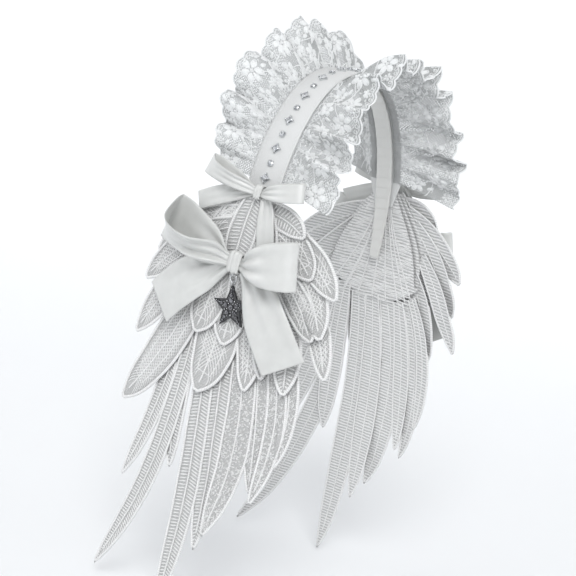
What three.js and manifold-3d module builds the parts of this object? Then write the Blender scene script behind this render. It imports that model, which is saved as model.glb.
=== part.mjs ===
// A lace headband: a covered hoop with a centre ribbon of claw-set stones between two gathered lace
// ruffles, and at each end a small satin bow, an embroidered lace wing, a large satin bow and a star drop.
// Millimetres, +Z up. The wearer faces -Y and +X is the wearer's left. The origin is the point of the
// hoop's inner face that rests on the top of the head.
import * as THREE from "three";
import { mergeVertices } from "three/addons/utils/BufferGeometryUtils.js";
import Module from "manifold-3d";

const wasm = await Module();
wasm.setup();

// Hoop, a flat strip bent to half a superellipse
const HOOP_HALF_WIDTH = 75;
const HOOP_HEIGHT = 124;
const HOOP_ROUNDNESS = 2.2;
const HOOP_STRIP = 12;
const HOOP_END_STRIP = 7;
const HOOP_THICKNESS = 2.5;
const HOOP_TAPER_FROM = 112;
const HOOP_END_LENGTH = 2;

// Centre ribbon, from under one wing over the crown to the other
const RIBBON_WIDTH = 24;
const RIBBON_THICKNESS = 1;
const RIBBON_REACH = 124;
const RIBBON_TAPER_FROM = 108;
const RIBBON_END_WIDTH = 14;
const GAP = 0.3;

// Lace ruffles, gathered under the ribbon's edges
const LACE_WIDTH = 45;
const LACE_THICKNESS = 1;
const LACE_REACH = 106;
const LACE_FOLD = 19;
const LACE_FOLD_DEPTH = 6.5;
const LACE_TUCK = 5;
const LACE_END_EASE = 24;
const LACE_FAN = { front: 0.24, back: -0.07 };

// Stones in claw settings, alternately square and round, the squares with a corner along the ribbon
const STONES_EACH_SIDE = 11;
const STONE_TO_WING = 2.4;
const SQUARE_SETTING_RADIUS = 3.7;
const ROUND_SETTING_RADIUS = 2.1;
const STONE_HEIGHT = 2.3;

// Wings, four tiers of embroidered feathers that lie on one curved surface beside the head
const WING_TOP = 74;
const WING_LENGTH = 275;
const WING_SPREAD = 78;
const WING_SWELL = 12;
const WING_SWELL_LENGTH = 160;
const WING_WRAP_RADIUS = 170;
const WING_SEAT = 0.6;
const FEATHER_THICKNESS = 1.2;
const FEATHER_STEP = 0.4;
const TIER_PITCH = 2.2;
const PANEL_INSET = 0.1;

// Bows, cut from satin ribbon
const SATIN_THICKNESS = 1;
const BOW_WRAP_RADIUS = 330;
const LARGE_RIBBON = 29;
const SMALL_RIBBON = 12;

// Star drop
const STAR_RADIUS = 14;
const STAR_WAIST = 0.46;
const STAR_THICKNESS = 1.6;
const STAR_LEAN = 8;
const STAR_STONE_RADIUS = 1.7;
const STAR_STONE_HEIGHT = 0.8;
const RING_RADIUS = 2.3;
const RING_WIRE = 0.8;
const EYE_RADIUS = 1.7;
const EYE_WIRE = 0.7;

const COLOURS = {
  satin: { color: 0xf4f4f1, roughness: 0.35, metalness: 0 },
  cloth: { color: 0xf2f3f3, roughness: 0.7, metalness: 0 },
  lace: { color: 0xe9eceb, roughness: 0.85, metalness: 0 },
  embroidery: { color: 0xe8e6e3, roughness: 0.75, metalness: 0 },
  silver: { color: 0xb8bcbc, roughness: 0.2, metalness: 0.9 },
  jet: { color: 0x141416, roughness: 0.2, metalness: 0.3 },
};

const group = new THREE.Group();

function add(name, geometry, colour) {
  const mesh = new THREE.Mesh(
    geometry,
    new THREE.MeshStandardMaterial(COLOURS[colour]),
  );
  mesh.name = name;
  group.add(mesh);
}

// A closed mesh from points and triangles, turned so that its faces point out.
function closed(points, faces) {
  const volume = faces.reduce((sum, _, k) => {
    if (k % 3) return sum;
    const [a, b, c] = [points[faces[k]], points[faces[k + 1]], points[faces[k + 2]]];
    return sum + a.dot(b.clone().cross(c));
  }, 0);
  const order = [];
  for (let k = 0; k < faces.length; k += 3) {
    const [a, b, c] = faces.slice(k, k + 3);
    order.push(...(volume > 0 ? [a, b, c] : [a, c, b]));
  }
  const geometry = new THREE.BufferGeometry();
  geometry.setAttribute(
    "position",
    new THREE.Float32BufferAttribute(points.flatMap((p) => p.toArray()), 3),
  );
  geometry.setIndex(order);
  return geometry;
}

// A wall of even thickness on one side of a grid of points, rows[i][j]. The side is +1 or -1.
function wall(rows, thickness, side = 1) {
  const last = rows.length - 1;
  const end = rows[0].length - 1;
  const at = (i, j) => rows[THREE.MathUtils.clamp(i, 0, last)][THREE.MathUtils.clamp(j, 0, end)];
  const points = rows.flat();
  const outer = rows.flatMap((row, i) =>
    row.map((p, j) => {
      const along = at(i + 1, j).clone().sub(at(i - 1, j));
      const across = at(i, j + 1).clone().sub(at(i, j - 1));
      const normal = along.cross(across).normalize();
      return p.clone().addScaledVector(normal, thickness * side);
    }),
  );
  const under = (i, j) => i * (end + 1) + j;
  const over = (i, j) => points.length + under(i, j);
  const faces = [];
  const quad = (a, b, c, d) => faces.push(a, b, c, a, c, d);
  for (let i = 0; i < last; i++) {
    for (let j = 0; j < end; j++) {
      quad(over(i, j), over(i + 1, j), over(i + 1, j + 1), over(i, j + 1));
      quad(under(i, j), under(i, j + 1), under(i + 1, j + 1), under(i + 1, j));
    }
    quad(under(i, 0), under(i + 1, 0), over(i + 1, 0), over(i, 0));
    quad(under(i, end), over(i, end), over(i + 1, end), under(i + 1, end));
  }
  for (let j = 0; j < end; j++) {
    quad(under(0, j), over(0, j), over(0, j + 1), under(0, j + 1));
    quad(under(last, j), under(last, j + 1), over(last, j + 1), over(last, j));
  }
  return closed([...points, ...outer], faces);
}

// Rings of points joined in a row. Closed end to end, it is a torus, and otherwise its ends are capped.
function loft(rings, joined = false) {
  const size = rings[0].length;
  const faces = [];
  const spans = joined ? rings.length : rings.length - 1;
  for (let i = 0; i < spans; i++) {
    const next = (i + 1) % rings.length;
    for (let k = 0; k < size; k++) {
      const turn = (k + 1) % size;
      const [a, b] = [i * size + k, i * size + turn];
      const [c, d] = [next * size + turn, next * size + k];
      faces.push(a, b, c, a, c, d);
    }
  }
  if (!joined) {
    const top = (rings.length - 1) * size;
    for (let k = 1; k < size - 1; k++) {
      faces.push(0, k + 1, k, top, top + k, top + k + 1);
    }
  }
  return closed(rings.flat(), faces);
}

function solid(geometry) {
  const merged = mergeVertices(geometry, 1e-4);
  return new wasm.Manifold(
    new wasm.Mesh({
      numProp: 3,
      vertProperties: merged.attributes.position.array,
      triVerts: new Uint32Array(merged.index.array),
    }),
  );
}

// The pieces joined into one body, without the slivers that near-level faces leave where they cross.
const SLIVER = 0.25;
function fuse(geometries) {
  const whole = geometries.map(solid).reduce((body, piece) => body.add(piece));
  const bodies = whole.simplify(SLIVER).decompose();
  const mesh = bodies.sort((a, b) => b.volume() - a.volume())[0].getMesh();
  const geometry = new THREE.BufferGeometry();
  geometry.setAttribute("position", new THREE.Float32BufferAttribute(mesh.vertProperties, 3));
  geometry.setIndex([...mesh.triVerts]);
  return geometry;
}

function spread(from, to, count) {
  return Array.from({ length: count }, (_, i) => THREE.MathUtils.lerp(from, to, i / (count - 1)));
}

const turnOf = (share) => 2 * Math.PI * share;
const degrees = THREE.MathUtils.degToRad;

// The hoop's inner line, tabled by its length from the crown
const ARCH_STEPS = 2000;
const archTable = (() => {
  const rows = [{ s: 0, x: 0, z: 0 }];
  for (let i = 1; i <= ARCH_STEPS; i++) {
    const t = (Math.PI / 2) * (i / ARCH_STEPS);
    const x = HOOP_HALF_WIDTH * Math.sin(t) ** (2 / HOOP_ROUNDNESS);
    const z = HOOP_HEIGHT * (Math.max(Math.cos(t), 0) ** (2 / HOOP_ROUNDNESS) - 1);
    const before = rows[i - 1];
    rows.push({ s: before.s + Math.hypot(x - before.x, z - before.z), x, z });
  }
  return rows;
})();
const ARCH_HALF_LENGTH = archTable[ARCH_STEPS].s;

function archSpot(length) {
  const s = Math.min(Math.abs(length), ARCH_HALF_LENGTH);
  let low = 0;
  let high = ARCH_STEPS;
  while (high - low > 1) {
    const middle = (low + high) >> 1;
    if (archTable[middle].s < s) low = middle;
    else high = middle;
  }
  const [a, b] = [archTable[low], archTable[high]];
  const share = (s - a.s) / (b.s - a.s);
  return [
    Math.sign(length) * THREE.MathUtils.lerp(a.x, b.x, share),
    THREE.MathUtils.lerp(a.z, b.z, share) - Math.max(Math.abs(length) - ARCH_HALF_LENGTH, 0),
  ];
}

// The point at a length along the hoop from the crown, a sideways place y and a height over the inner line.
function onHoop(length, y, height) {
  const [x, z] = archSpot(length);
  const reach = 2;
  const [x0, z0] = archSpot(length - reach);
  const [x1, z1] = archSpot(length + reach);
  const run = Math.hypot(x1 - x0, z1 - z0);
  return new THREE.Vector3(x - ((z1 - z0) / run) * height, y, z + ((x1 - x0) / run) * height);
}

// Covered hoop, narrower and rounded towards its two ends
const HOOP_SECTIONS = 27;
function hoopStrip(length) {
  const left = ARCH_HALF_LENGTH - Math.abs(length);
  const taper = (Math.abs(length) - HOOP_TAPER_FROM) / (ARCH_HALF_LENGTH - HOOP_TAPER_FROM);
  const strip = THREE.MathUtils.lerp(HOOP_STRIP, HOOP_END_STRIP, THREE.MathUtils.clamp(taper, 0, 1));
  return left < HOOP_END_LENGTH / 2 ? strip * 0.6 : strip;
}
const hoopEnd = ARCH_HALF_LENGTH - HOOP_END_LENGTH;
const hoopLengths = [-ARCH_HALF_LENGTH, ...spread(-hoopEnd, hoopEnd, HOOP_SECTIONS), ARCH_HALF_LENGTH];
add(
  "hoop",
  wall(
    hoopLengths.map((s) => [-0.5, 0.5].map((side) => onHoop(s, side * hoopStrip(s), 0))),
    HOOP_THICKNESS,
  ),
  "cloth",
);

// Centre ribbon, laid on the hoop, with narrower ends tucked under the wings
const RIBBON_SECTIONS = 27;
const ribbonStrip = (s) =>
  THREE.MathUtils.mapLinear(
    THREE.MathUtils.clamp(Math.abs(s), RIBBON_TAPER_FROM, RIBBON_REACH),
    RIBBON_TAPER_FROM,
    RIBBON_REACH,
    RIBBON_WIDTH,
    RIBBON_END_WIDTH,
  );
const ribbonBase = HOOP_THICKNESS + GAP;
const ribbonTop = ribbonBase + RIBBON_THICKNESS;
add(
  "centre_ribbon",
  wall(
    spread(-RIBBON_REACH, RIBBON_REACH, RIBBON_SECTIONS).map((s) =>
      [-0.5, 0.5].map((side) => onHoop(s, side * ribbonStrip(s), ribbonBase)),
    ),
    RIBBON_THICKNESS,
  ),
  "cloth",
);

// Ruffles. The lace is held flat under the ribbon's edge, then rises and opens in folds. The first table
// has a row for each place along the lace, as a share of its reach from the crown: how far its edge
// spreads beyond the ribbon and how high it stands, as shares of the lace's width. The second table
// goes from the ribbon to that edge.
const RUFFLES = {
  front: [
    { at: 0, spread: 0.8, rise: 0.29 },
    { at: 0.3, spread: 0.84, rise: 0.27 },
    { at: 0.6, spread: 0.93, rise: 0.22 },
    { at: 0.85, spread: 1, rise: 0.18 },
    { at: 1, spread: 0.93, rise: 0.13 },
  ],
  back: [
    { at: 0, spread: 0.51, rise: 0.49 },
    { at: 0.3, spread: 0.49, rise: 0.56 },
    { at: 0.6, spread: 0.56, rise: 0.51 },
    { at: 0.85, spread: 0.56, rise: 0.29 },
    { at: 1, spread: 0.49, rise: 0.18 },
  ],
};
const RUFFLE_ROWS = [
  { tuck: 1, reach: 0, rise: 0, depth: 0, lean: 0 },
  { tuck: -0.16, reach: 0, rise: 0, depth: 0, lean: 0 },
  { tuck: 0, reach: 0.24, rise: 0.36, depth: 0.42, lean: 0.25 },
  { tuck: 0, reach: 0.6, rise: 0.78, depth: 0.85, lean: 0.7 },
  { tuck: 0, reach: 1, rise: 1, depth: 1, lean: 1 },
];
const SAMPLES_A_FOLD = 5;
const LEAN = 0.12;
const LACE_LOW = HOOP_THICKNESS;

function foldTurn(s, side) {
  const fold = s / LACE_FOLD;
  return turnOf(fold) + 0.7 * Math.sin(turnOf(fold / 4.4) + side) + 0.4 * Math.sin(turnOf(fold / 1.95));
}

function rowBetween(table, at) {
  const next = Math.max(table.findIndex((row) => row.at >= at), 1);
  const [low, high] = [table[next - 1], table[next]];
  const share = THREE.MathUtils.smoothstep(at, low.at, high.at);
  return {
    spread: THREE.MathUtils.lerp(low.spread, high.spread, share),
    rise: THREE.MathUtils.lerp(low.rise, high.rise, share),
  };
}

function rufflePoint(s, name, row) {
  const side = name === "front" ? -1 : 1;
  const fromCrown = Math.abs(s) / LACE_REACH;
  const edge = rowBetween(RUFFLES[name], fromCrown);
  const ease = THREE.MathUtils.smoothstep(LACE_REACH - Math.abs(s), 0, LACE_END_EASE);
  const calm = THREE.MathUtils.lerp(0.25, 1, ease);
  const turn = foldTurn(s, side);
  const swing = 0.82 + 0.18 * Math.sin(turnOf(s / LACE_FOLD / 2.8) + 2 * side);
  const fan = Math.sign(s) * LACE_FAN[name] * row.reach * fromCrown ** 2;
  const wave = row.depth * LACE_FOLD_DEPTH * swing * calm * Math.sin(turn);
  return onHoop(
    s + fan * LACE_WIDTH + row.lean * LEAN * LACE_FOLD * calm * Math.cos(turn),
    side * (RIBBON_WIDTH / 2 - row.tuck * LACE_TUCK + row.reach * edge.spread * LACE_WIDTH),
    LACE_LOW + row.rise * edge.rise * LACE_WIDTH + wave,
  );
}

function ruffle(name) {
  const count = Math.round((2 * LACE_REACH * SAMPLES_A_FOLD) / LACE_FOLD) + 1;
  const rows = spread(-LACE_REACH, LACE_REACH, count).map((s) =>
    RUFFLE_ROWS.map((row) => rufflePoint(s, name, row)),
  );
  return wall(rows, LACE_THICKNESS, name === "front" ? 1 : -1);
}
add("ruffle_front", ruffle("front"), "lace");
add("ruffle_back", ruffle("back"), "lace");

// Stones. Each is lofted with its setting through rings of eight points, up to a flat table. The lowest
// stones stop just above the wings.
const stoneReach = archTable.find((row) => row.z <= -WING_TOP).s - STONE_TO_WING - SQUARE_SETTING_RADIUS;
const STONE_PITCH = stoneReach / STONES_EACH_SIDE;
const STONE_SIDES = 8;
const SQUARE_STONE = [
  { height: 0, corner: 1, side: 0.66 },
  { height: 0.52, corner: 1, side: 0.6 },
  { height: 0.62, corner: 0.72, side: 0.56 },
  { height: 1, corner: 0.4, side: 0.34 },
];
const ROUND_STONE = [
  { height: 0, corner: 1, side: 1 },
  { height: 0.5, corner: 1, side: 1 },
  { height: 0.58, corner: 0.84, side: 0.84 },
  { height: 1, corner: 0.5, side: 0.5 },
];

function stone(s, rings, radius, height) {
  return loft(
    rings.map((ring) =>
      Array.from({ length: STONE_SIDES }, (_, k) => {
        const reach = radius * (k % 2 ? ring.side : ring.corner);
        const angle = turnOf(k / STONE_SIDES);
        const lift = ribbonTop + GAP + ring.height * height;
        const spot = onHoop(s, 0, lift);
        const along = onHoop(s + 1, 0, lift).sub(onHoop(s - 1, 0, lift)).normalize();
        return spot.addScaledVector(along, reach * Math.cos(angle)).setY(reach * Math.sin(angle));
      }),
    ),
  );
}
for (let i = -STONES_EACH_SIDE; i <= STONES_EACH_SIDE; i++) {
  const number = String(i + STONES_EACH_SIDE + 1).padStart(2, "0");
  const square = (STONES_EACH_SIDE - i) % 2 === 0;
  const made = square
    ? stone(i * STONE_PITCH, SQUARE_STONE, SQUARE_SETTING_RADIUS, STONE_HEIGHT)
    : stone(i * STONE_PITCH, ROUND_STONE, ROUND_SETTING_RADIUS, STONE_HEIGHT * 0.85);
  add(`stone_${number}_${square ? "square" : "round"}`, made, "silver");
}

// The wing's surface, on the wearer's right. u runs to the back, v down from the wing's top, h outwards.
function hoopHalfWidth(depth) {
  const share = THREE.MathUtils.clamp(1 - depth / HOOP_HEIGHT, 0, 1);
  return HOOP_HALF_WIDTH * (1 - share ** HOOP_ROUNDNESS) ** (1 / HOOP_ROUNDNESS);
}

function onWing(u, v, h, wrap = WING_WRAP_RADIUS) {
  const swell = WING_SWELL * THREE.MathUtils.smoothstep(v, 0, WING_SWELL_LENGTH);
  const out = hoopHalfWidth(WING_TOP + v) + ribbonTop + WING_SEAT + swell + h;
  return new THREE.Vector3((u * u) / (2 * wrap) - out, u, -WING_TOP - v);
}

// Feathers. Root and tip are shares of the wing's spread (u) and length (v), the width is a share of the
// spread, and bow is how far the spine bends sideways, as a share of the feather's own length.
const TIERS = [
  {
    name: "wing_primaries",
    panel: [
      { v: 0.008, back: 0.1, front: 0.1 },
      { v: 0.15, back: 0.4, front: 0.36 },
      { v: 0.36, back: 0.5, front: 0.48 },
    ],
    feathers: [
      { u0: 0.42, v0: 0.26, u1: 0.82, v1: 0.74, width: 0.16, bow: -0.06 },
      { u0: 0.3, v0: 0.28, u1: 0.98, v1: 0.985, width: 0.19, bow: -0.08 },
      { u0: 0.3, v0: 0.27, u1: 0.29, v1: 0.67, width: 0.2, bow: 0.02 },
      { u0: 0.16, v0: 0.28, u1: 0.15, v1: 1, width: 0.21, bow: -0.04 },
      { u0: 0.01, v0: 0.28, u1: -0.11, v1: 0.83, width: 0.22, bow: -0.03 },
      { u0: -0.14, v0: 0.28, u1: -0.2, v1: 0.785, width: 0.24, bow: -0.08 },
      { u0: -0.28, v0: 0.28, u1: -0.5, v1: 0.66, width: 0.17, bow: -0.03 },
      { u0: -0.36, v0: 0.27, u1: -0.54, v1: 0.68, width: 0.15, bow: -0.1 },
      { u0: -0.42, v0: 0.26, u1: -0.66, v1: 0.59, width: 0.13, bow: -0.1 },
    ],
  },
  {
    name: "wing_long_coverts",
    panel: [
      { v: 0.008, back: 0.12, front: 0.12 },
      { v: 0.15, back: 0.4, front: 0.42 },
      { v: 0.32, back: 0.44, front: 0.46 },
    ],
    feathers: [
      { u0: 0.24, v0: 0.14, u1: 0.99, v1: 0.565, width: 0.36, bow: -0.07 },
      { u0: 0.12, v0: 0.2, u1: 0.115, v1: 0.47, width: 0.4, bow: -0.08 },
      { u0: -0.1, v0: 0.2, u1: -0.32, v1: 0.435, width: 0.22, bow: -0.05 },
      { u0: -0.2, v0: 0.2, u1: -0.43, v1: 0.4, width: 0.17, bow: -0.04 },
      { u0: -0.36, v0: 0.2, u1: -0.64, v1: 0.42, width: 0.22, bow: -0.06 },
      { u0: -0.44, v0: 0.15, u1: -0.93, v1: 0.365, width: 0.17, bow: -0.05 },
    ],
  },
  {
    name: "wing_short_coverts",
    panel: [
      { v: 0.008, back: 0.14, front: 0.14 },
      { v: 0.12, back: 0.38, front: 0.42 },
      { v: 0.25, back: 0.38, front: 0.42 },
    ],
    feathers: [
      { u0: 0.22, v0: 0.1, u1: 0.95, v1: 0.4, width: 0.3, bow: 0.02 },
      { u0: 0.2, v0: 0.14, u1: 0.24, v1: 0.34, width: 0.34, bow: -0.06 },
      { u0: -0.05, v0: 0.16, u1: -0.05, v1: 0.35, width: 0.3, bow: 0 },
      { u0: -0.3, v0: 0.14, u1: -0.77, v1: 0.29, width: 0.2, bow: -0.04 },
      { u0: -0.3, v0: 0.08, u1: -0.84, v1: 0.28, width: 0.24, bow: -0.05 },
      { u0: -0.2, v0: 0.05, u1: -0.88, v1: 0.19, width: 0.22, bow: -0.05 },
    ],
  },
  {
    name: "wing_shoulder",
    panel: [
      { v: 0.008, back: 0.16, front: 0.14 },
      { v: 0.08, back: 0.28, front: 0.28 },
      { v: 0.19, back: 0.24, front: 0.24 },
    ],
    feathers: [
      { u0: 0.04, v0: 0.03, u1: 0.2, v1: 0.1, width: 0.2, bow: 0.06 },
      { u0: -0.04, v0: 0.04, u1: -0.53, v1: 0.075, width: 0.18, bow: -0.1 },
      { u0: 0.08, v0: 0.06, u1: 0.88, v1: 0.2, width: 0.24, bow: 0.06 },
      { u0: 0.1, v0: 0.09, u1: 0.95, v1: 0.27, width: 0.26, bow: 0.06 },
      { u0: -0.12, v0: 0.06, u1: -0.66, v1: 0.16, width: 0.26, bow: -0.08 },
    ],
  },
];
const FEATHER_OUTLINE = [
  { along: 0, half: 0.6 },
  { along: 0.36, half: 0.96 },
  { along: 0.68, half: 0.94 },
  { along: 0.9, half: 0.52 },
  { along: 1, half: 0.06 },
];
const WIDE_FEATHER = 0.29;
const PANEL_ACROSS = 5;

function feather(row, h) {
  const root = new THREE.Vector2(row.u0 * WING_SPREAD, row.v0 * WING_LENGTH);
  const tip = new THREE.Vector2(row.u1 * WING_SPREAD, row.v1 * WING_LENGTH);
  const run = tip.clone().sub(root);
  const sideways = new THREE.Vector2(run.y, -run.x).normalize();
  const rows = FEATHER_OUTLINE.map(({ along, half }) => {
    const bend = row.bow * run.length() * 4 * along * (1 - along);
    const slope = row.bow * 4 * (1 - 2 * along);
    const spine = root.clone().addScaledVector(run, along).addScaledVector(sideways, bend);
    const across = sideways.clone().addScaledVector(run.clone().normalize(), -slope).normalize();
    const reach = (row.width * WING_SPREAD * half) / 2;
    return (row.width > WIDE_FEATHER ? [-1, 0, 1] : [-1, 1]).map((side) =>
      onWing(spine.x + side * across.x * reach, spine.y + side * across.y * reach, h),
    );
  });
  return wall(rows, FEATHER_THICKNESS, -1);
}

function panel(rows, h) {
  const grid = rows.map((row) =>
    spread(-row.front, row.back, PANEL_ACROSS).map((u) =>
      onWing(u * WING_SPREAD, row.v * WING_LENGTH, h + PANEL_INSET),
    ),
  );
  return wall(grid, FEATHER_THICKNESS - 2 * PANEL_INSET, -1);
}

// The two sides are the same but for their handedness: shapes are made on the right and mirrored.
const SIDES = [
  { name: "right", mirror: 1 },
  { name: "left", mirror: -1 },
];

function addPair(name, make, colour) {
  for (const side of SIDES) {
    const geometry = make();
    if (side.mirror < 0) {
      geometry.scale(-1, 1, 1);
      const order = geometry.index.array;
      for (let k = 0; k < order.length; k += 3) {
        [order[k + 1], order[k + 2]] = [order[k + 2], order[k + 1]];
      }
    }
    add(`${name}_${side.name}`, geometry, colour);
  }
}

TIERS.forEach((tier, level) => {
  const h = level * TIER_PITCH;
  addPair(
    tier.name,
    () =>
      fuse([
        panel(tier.panel, h),
        ...tier.feathers.map((row, k) => feather(row, h + (k % 2) * FEATHER_STEP)),
      ]),
    "embroidery",
  );
});
const wingTopHeight = (TIERS.length - 1) * TIER_PITCH + FEATHER_THICKNESS + FEATHER_STEP;

// Bows. A knot of ribbon holds two loops, which are one strip, and two tails, which are another.
// Heights are over the surface that the bow lies on. Directions are turned from the back (u) towards down (v).
const KNOT_WALL = 1;
const KNOT_STEPS = 12;
const KNOT_EXIT = 0.6;
const LOOP_ROWS = [
  { along: 0, rise: 0, width: 0, pleat: 0 },
  { along: 0.25, rise: 0.2, width: 0.6, pleat: 0 },
  { along: 0.6, rise: 0.27, width: 0.95, pleat: 0 },
  { along: 0.92, rise: 0.28, width: 1, pleat: 0 },
  { along: 1, rise: 0.5, width: 1, pleat: 0 },
  { along: 0.98, rise: 0.78, width: 1, pleat: 0, over: true },
  { along: 0.84, rise: 0.98, width: 1, pleat: 0.02, over: true },
  { along: 0.58, rise: 1, width: 0.9, pleat: 0.06, over: true },
  { along: 0.32, rise: 0.8, width: 0.62, pleat: 0.1, over: true },
  { along: 0.12, rise: 0.38, width: 0.24, pleat: 0.06, over: true },
  { along: 0, rise: 0, width: 0, pleat: 0, over: true },
];
const TAIL_ROWS = [
  { along: 1, lift: 0.1, width: 1, pleat: 0 },
  { along: 0.8, lift: 0.8, width: 1, pleat: 0.02 },
  { along: 0.58, lift: 1, width: 0.96, pleat: 0.06 },
  { along: 0.36, lift: 0.25, width: 0.78, pleat: 0.03 },
  { along: 0.18, lift: 0, width: 0.4, pleat: 0.02 },
];
const STRIP_ACROSS = { large: [-1, -0.5, 0, 0.5, 1], small: [-1, 0, 1] };

// Heights of the layers that pass through a knot.
function layers(bow) {
  const tail = bow.base + GAP + KNOT_WALL + 2 * GAP;
  const loopUnder = tail + 2 * SATIN_THICKNESS + GAP;
  const loopOver = loopUnder + GAP;
  const top = loopOver + SATIN_THICKNESS;
  return { tail, loopUnder, loopOver, middle: (tail + top) / 2, halfHeight: (top - tail) / 2 + 2 * GAP };
}

// One row of points across a strip of ribbon. Pleats make its points stand up and down by turns.
function stripRow(bow, centre, h, direction, width, pleat = 0) {
  const across = { u: -Math.sin(direction), v: Math.cos(direction) };
  return STRIP_ACROSS[bow.size].map((place, k) => {
    const reach = (place * width) / 2;
    const rise = h + pleat * bow.ribbon * (k % 2 ? -0.5 : 0.5);
    return onWing(centre.u + across.u * reach, centre.v + across.v * reach, rise, BOW_WRAP_RADIUS);
  });
}

const ribbonAt = (bow, share) => THREE.MathUtils.lerp(bow.pinch, bow.ribbon, share);

function knotSpot(bow, share) {
  const reach = share * bow.knotLength;
  return { u: bow.u + reach * Math.cos(bow.axis), v: bow.v + reach * Math.sin(bow.axis) };
}

function bowLoops(bow) {
  const { loopUnder, loopOver } = layers(bow);
  const side = (loop, sign) => {
    const exit = knotSpot(bow, sign * KNOT_EXIT);
    const run = loop.length - KNOT_EXIT * bow.knotLength;
    return LOOP_ROWS.map((row) => {
      const reach = sign * row.along * run;
      const direction = row.along ? loop.direction : bow.axis;
      return stripRow(
        bow,
        { u: exit.u + Math.cos(direction) * reach, v: exit.v + Math.sin(direction) * reach },
        (row.over ? loopOver : loopUnder) + row.rise * loop.rise,
        direction,
        ribbonAt(bow, row.width),
        row.pleat,
      );
    });
  };
  const held = (share, h) => stripRow(bow, knotSpot(bow, share), h, bow.axis, bow.pinch);
  const rear = [held(0.12, loopUnder), ...side(bow.rear, 1)];
  const front = [...side(bow.front, -1).reverse(), held(-0.12, loopUnder)];
  return wall([...rear, held(0, loopOver), ...front], SATIN_THICKNESS, -1);
}

// A tail leaves the knot along the bow's axis and bends towards its own end.
function tailPath(bow, tail, along) {
  const exit = knotSpot(bow, tail.sign * KNOT_EXIT);
  const bend = { u: bow.u + tail.du * 0.42 + tail.sign * tail.swing, v: bow.v + tail.dv * 0.3 };
  const end = { u: bow.u + tail.du, v: bow.v + tail.dv };
  const mix = (a, b, c) => (1 - along) ** 2 * a + 2 * along * (1 - along) * b + along ** 2 * c;
  return { u: mix(exit.u, bend.u, end.u), v: mix(exit.v, bend.v, end.v) };
}

function bowTails(bow) {
  const { tail: low } = layers(bow);
  const side = (tail) =>
    TAIL_ROWS.map((row) => {
      const centre = tailPath(bow, tail, row.along);
      const next = tailPath(bow, tail, row.along + 0.02);
      const direction = Math.atan2((next.v - centre.v) * tail.sign, (next.u - centre.u) * tail.sign);
      return stripRow(
        bow,
        centre,
        low + tail.hump * row.lift,
        direction,
        ribbonAt(bow, row.width),
        row.pleat,
      );
    });
  const held = (share) => stripRow(bow, knotSpot(bow, share), low, bow.axis, bow.pinch);
  const rows = [
    ...side(bow.rearTail),
    held(KNOT_EXIT),
    held(-KNOT_EXIT),
    ...side(bow.downTail).reverse(),
  ];
  return wall(rows, SATIN_THICKNESS, -1);
}

// The knot, a short sleeve of ribbon with bulging sides, round all the layers.
function bowKnot(bow) {
  const { middle, halfHeight } = layers(bow);
  const profile = [
    { along: -0.5, out: 0 },
    { along: 0.5, out: 0 },
    { along: 0.5, out: 0.6 },
    { along: 0, out: 1.6 },
    { along: -0.5, out: 0.6 },
  ];
  const soft = (x) => Math.sign(x) * Math.abs(x) ** 0.5;
  return loft(
    Array.from({ length: KNOT_STEPS }, (_, k) => {
      const angle = turnOf(k / KNOT_STEPS);
      const [c, s] = [soft(Math.cos(angle)), soft(Math.sin(angle))];
      return profile.map(({ along, out }) => {
        const thick = out * KNOT_WALL * (s < 0 ? 0.6 : 1);
        const across = c * (bow.pinch / 2 + bow.slack + thick);
        const spot = knotSpot(bow, along);
        const u = spot.u - across * Math.sin(bow.axis);
        const v = spot.v + across * Math.cos(bow.axis);
        return onWing(u, v, middle + s * (halfHeight + thick), BOW_WRAP_RADIUS);
      });
    }),
    true,
  );
}

// A bow's lengths are shares of its ribbon's width, and its place is shares of the wing's spread and length.
const BOWS = {
  large: {
    ribbon: LARGE_RIBBON,
    base: wingTopHeight,
    place: { u: -0.046, v: 0.16 },
    knot: { pinch: 0.276, slack: 0.055, length: 0.31, axis: -4 },
    rear: { direction: -19, length: 2.1, rise: 0.41 },
    front: { direction: 12, length: 1.48, rise: 0.41 },
    rearTail: { du: 1.83, dv: 1.345, swing: 0.14, hump: 0.14 },
    downTail: { du: -1.52, dv: 1.86, swing: 0, hump: 0.14 },
  },
  small: {
    ribbon: SMALL_RIBBON,
    base: wingTopHeight - FEATHER_STEP - GAP,
    place: { u: -0.083, v: 0 },
    knot: { pinch: 0.417, slack: 0.1, length: 0.417, axis: -3 },
    rear: { direction: -15, length: 3.42, rise: 0.5 },
    front: { direction: 12, length: 2.75, rise: 0.5 },
    rearTail: { du: 3.67, dv: 1.25, swing: 0.33, hump: 0.125 },
    downTail: { du: -1.25, dv: 3, swing: 0.25, hump: 0.125 },
  },
};

function sized(size) {
  const { ribbon, base, place, knot, ...parts } = BOWS[size];
  const loop = ({ direction, length, rise }) => ({
    direction: degrees(direction),
    length: length * ribbon,
    rise: rise * ribbon,
  });
  const tail = ({ du, dv, swing, hump }, sign) => ({
    sign,
    du: du * ribbon,
    dv: dv * ribbon,
    swing: swing * ribbon,
    hump: hump * ribbon,
  });
  return {
    size,
    ribbon,
    base,
    u: place.u * WING_SPREAD,
    v: place.v * WING_LENGTH,
    pinch: knot.pinch * ribbon,
    slack: knot.slack * ribbon,
    knotLength: knot.length * ribbon,
    axis: degrees(knot.axis),
    rear: loop(parts.rear),
    front: loop(parts.front),
    rearTail: tail(parts.rearTail, 1),
    downTail: tail(parts.downTail, -1),
  };
}
const LARGE_BOW = sized("large");
const SMALL_BOW = sized("small");
for (const [name, bow] of [["small_bow", SMALL_BOW], ["large_bow", LARGE_BOW]]) {
  addPair(`${name}_loops`, () => bowLoops(bow), "satin");
  addPair(`${name}_tails`, () => bowTails(bow), "satin");
  addPair(`${name}_knot`, () => bowKnot(bow), "satin");
}

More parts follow.
